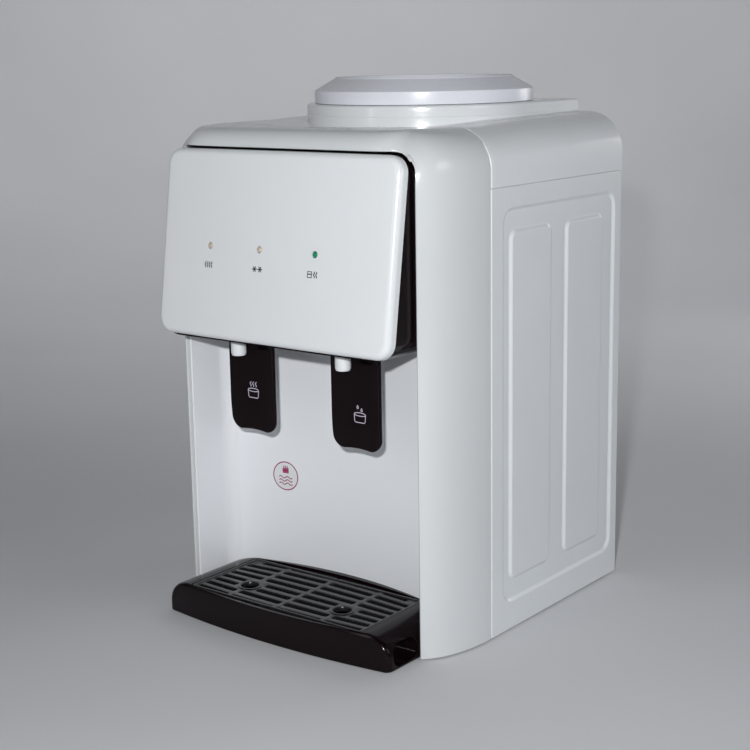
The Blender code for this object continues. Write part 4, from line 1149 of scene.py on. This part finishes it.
def make_grate():
    bm = bmesh.new()
    top = GRATE_HIGH[2]
    bottom = GRATE_LOW[2]
    rim = 0.9

    def loop(points, level):
        return [(x, bend(x, y), level) for x, y in points]

    def slot_outline(slot, grow):
        left, near, right, far = slot
        return rounded(left - grow, near - grow, right + grow, far + grow, 1.4 + grow, 4)

    def frame_outline(inset):
        half = GRATE_HIGH[0] - inset
        radius = max(4.0 - inset, 0.8)
        return rounded(-half, GRATE_FRONT_Y + inset, half, GRATE_BACK_Y - inset, radius, 5)

    slots = grate_slots()
    slot_edge = ((0.6, 0.0), (0.25, 0.12), (0.05, 0.35), (0.0, 0.7))
    for slot in slots:
        rows = [loop(slot_outline(slot, grow), top - depth) for grow, depth in slot_edge]
        rows.append(loop(slot_outline(slot, 0.0), bottom))
        skin(bm, rows, closed=True)
    finger_rows = (
        (FINGER_RING, 0.0), (10.4, 0.45), (9.9, 0.8), (8.9, 0.8), (8.2, 0.5), (FINGER_HOLE, -0.2)
    )

    def finger_loop(centre, radius, level):
        return [(x, y, level) for x, y in circle(centre, radius, 40)]

    for centre in FINGERS:
        rows = [finger_loop(centre, r, top + up) for r, up in finger_rows]
        rows.append(finger_loop(centre, FINGER_HOLE, bottom))
        skin(bm, rows, closed=True)
    edge = (
        (3.6, 0.0), (3.2, 0.25), (2.8, 0.7), (2.3, rim),
        (0.8, rim), (0.25, rim - 0.25), (0.0, rim - 0.8),
    )
    rows = [loop(frame_outline(inset), top + up) for inset, up in edge]
    rows.append(loop(frame_outline(0.0), bottom))
    skin(bm, rows, closed=True)
    for level, grow, frame_inset, finger_radius in (
        (top, slot_edge[0][0], edge[0][0], FINGER_RING), (bottom, 0.0, 0.0, FINGER_HOLE)
    ):
        shapes = [frame_outline(frame_inset)] + [slot_outline(slot, grow) for slot in slots]
        outlines = [[(x, bend(x, y)) for x, y in shape] for shape in shapes]
        outlines += [circle(centre, finger_radius, 40) for centre in FINGERS]
        region(bm, outlines, NO_FILL, lambda x, y: (x, y, level))
    weld(bm, 0.03)
    build("grate_plate", bm, LOOKS["grate_black"], "grate", ("drip_grate",))


# ---------------- small outside pieces

def make_sticker():
    """A round label on the bay's back wall: a thin ring with a tap and waves drawn in it."""
    centre_x, centre_z, radius = -65.0, 111.0, 12.9

    def on_wall(u, v, out):
        return (centre_x + u, bay_y(centre_x + u) - 0.25 - out, centre_z + v)

    bm = bmesh.new()
    edge = ((radius + 0.9, -0.2), (radius + 0.9, 0.02), (radius * 0.6, 0.03), (1.0, 0.03))
    rows = [[on_wall(u, v, out) for u, v in circle((0.0, 0.0), r, 64)] for r, out in edge]
    skin(bm, rows, closed=True, cap_last=True)
    build("label_disc", bm, LOOKS["white_gloss"])
    ring = circle((0.0, 0.0), radius, 72)
    lines = [ring + ring[:1]]
    bowl = [(-3.0, 7.0), (-3.0, 3.0), (3.0, 3.0), (3.0, 7.0), (-3.0, 7.0)]
    lines.append(bowl)
    lines += [[(x, 7.6), (x, 9.4)] for x in (-1.8, 0.0, 1.8)]
    lines += [[(-3.0, w), (3.0, w)] for w in (4.0, 5.0, 6.0)]
    for offset in (0.0, -3.0, -6.0):
        lines.append([(-7.0 + 14.0 * t / 16, -1.3 + offset + 0.9 * ripple(t)) for t in range(17)])
    drawn("label_mark", lines, 1.1, on_wall, LOOKS["pink_ink"], height=0.08)


def soften_cad_edges():
    """Small rounds on the moulded and pressed CAD pieces that stay visible."""
    widths = {
        "wedge_housing": 1.2, "power_inlet": 0.6, "switch_bezel": 0.8, "heating_switch": 0.6,
        "cooling_switch": 0.6, "drain_cap": 0.8, "drain_outlet": 0.4, "foot_front_left": 0.6,
        "foot_front_right": 0.6, "foot_rear_left": 0.6, "foot_rear_right": 0.6, "heat_sink": 0.3,
        "fan_frame": 0.6, "tank_insulation": 1.5, "base_plate": 0.4,
    }
    for name, width in widths.items():
        bevel(frame["nodes"][name], width)


make_front_shell()
make_top_cover()
make_collar()
make_side_panel(-1, "left_side_panel")
make_side_panel(1, "right_side_panel")
make_bay()
make_fascia()
make_panel_marks()
for tap, tap_side in (("hot", -1), ("cold", 1)):
    make_lever(tap + "_lever", tap_side)
    make_spout(tap + "_spout", tap_side)
make_tray()
make_grate()
make_sticker()
soften_cad_edges()


# ---------------- floor, light and camera

BOWL_FLAT = 1.7                           # metres, the flat part of the studio floor
BOWL_BEND = 0.9                           # metres, the radius of its turn up into the wall
BOWL_TOP = 2.4                            # metres, the top of the wall


def make_studio():
    """A plain pale floor that turns up into a round wall with no visible corner."""
    look, tree, shader, place = nodes_of("studio")
    shade = spread(tree, noise(tree, place, 2.0, 2.0), 0.0, 1.0)
    tree.links.new(
        blend(tree, shade, (0.70, 0.71, 0.73), (0.74, 0.75, 0.77)), shader.inputs["Base Color"]
    )
    shader.inputs["Roughness"].default_value = 0.75
    bump(tree, shader, noise(tree, place, 900.0), 0.08, 0.0002)
    profile = [(0.25, 0.0), (0.6, 0.0), (1.1, 0.0)]
    profile += arc((BOWL_FLAT, BOWL_BEND), BOWL_BEND, -90, 0, 16)
    profile.append((BOWL_FLAT + BOWL_BEND, BOWL_TOP))
    bm = bmesh.new()
    steps = 96
    rows = []
    for radius, height in profile:
        turns = [2 * math.pi * i / steps for i in range(steps)]
        rows.append([(radius * math.cos(a), radius * math.sin(a), height) for a in turns])
    skin(bm, rows, closed=True, cap_first=True)
    mesh = mesh_of("studio", bm, 1.0)
    mesh.shade_smooth()
    mesh.materials.append(look)
    new_object("studio", mesh)


def area_light(name, place, target, width, height, power, colour=(1.0, 1.0, 1.0), spread=180.0):
    lamp = bpy.data.lights.new(name, "AREA")
    lamp.shape = "RECTANGLE"
    lamp.size = width
    lamp.size_y = height
    lamp.energy = power
    lamp.color = colour
    lamp.spread = math.radians(spread)
    obj = new_object(name, lamp)
    obj.location = place
    obj.rotation_mode = "QUATERNION"
    aim = Vector(target) - Vector(place)
    obj.rotation_quaternion = aim.to_track_quat("-Z", "Y")


def make_light():
    """A small hard light beside the camera, a tall soft one to the left, and a dim room."""
    world = bpy.data.worlds.new("studio")
    bpy.context.scene.world = world
    world.use_nodes = True
    sky = world.node_tree.nodes["Background"]
    sky.inputs["Color"].default_value = (0.82, 0.88, 1.0, 1.0)
    sky.inputs["Strength"].default_value = 0.03
    area_light("flash", (0.80, -1.142, 0.605), (0.0, 0.0, 0.24), 0.04, 0.03, 12.2)
    area_light("window", (-0.42, -1.60, 0.70), (0.0, 0.0, 0.22), 0.06, 1.1, 1.1)
    area_light("wall_wash", (-0.5, 0.6, 2.1), (-1.6, 2.0, 0.7), 1.2, 1.2, 10.5, spread=130.0)
    area_light("back_fill", (0.55, 1.7, 0.55), (0.0, 0.16, 0.22), 0.6, 0.5, 4.0)
    area_light("fill", (1.9, 0.1, 0.95), (0.0, 0.1, 0.30), 0.7, 0.7, 3.2, (0.93, 0.96, 1.0))
    bpy.context.scene.view_settings.view_transform = "Standard"


def make_camera():
    """The photograph's view: the angles turn the camera from straight ahead, in degrees."""
    azimuth, elevation, roll = (math.radians(angle) for angle in (38.18, 12.19, -1.0))
    camera = bpy.data.cameras.new("camera")
    camera.sensor_width = 36.0
    camera.lens = 72.08
    camera.clip_start = 0.02
    camera.clip_end = 50.0
    obj = new_object("camera", camera)
    turn = Matrix.Rotation(azimuth, 4, "Z") @ Matrix.Rotation(math.pi / 2 - elevation, 4, "X")
    turn = turn @ Matrix.Rotation(roll, 4, "Z")
    obj.matrix_world = Matrix.Translation((0.8063, -1.0376, 0.4846)) @ turn
    bpy.context.scene.camera = obj


make_studio()
make_light()
make_camera()
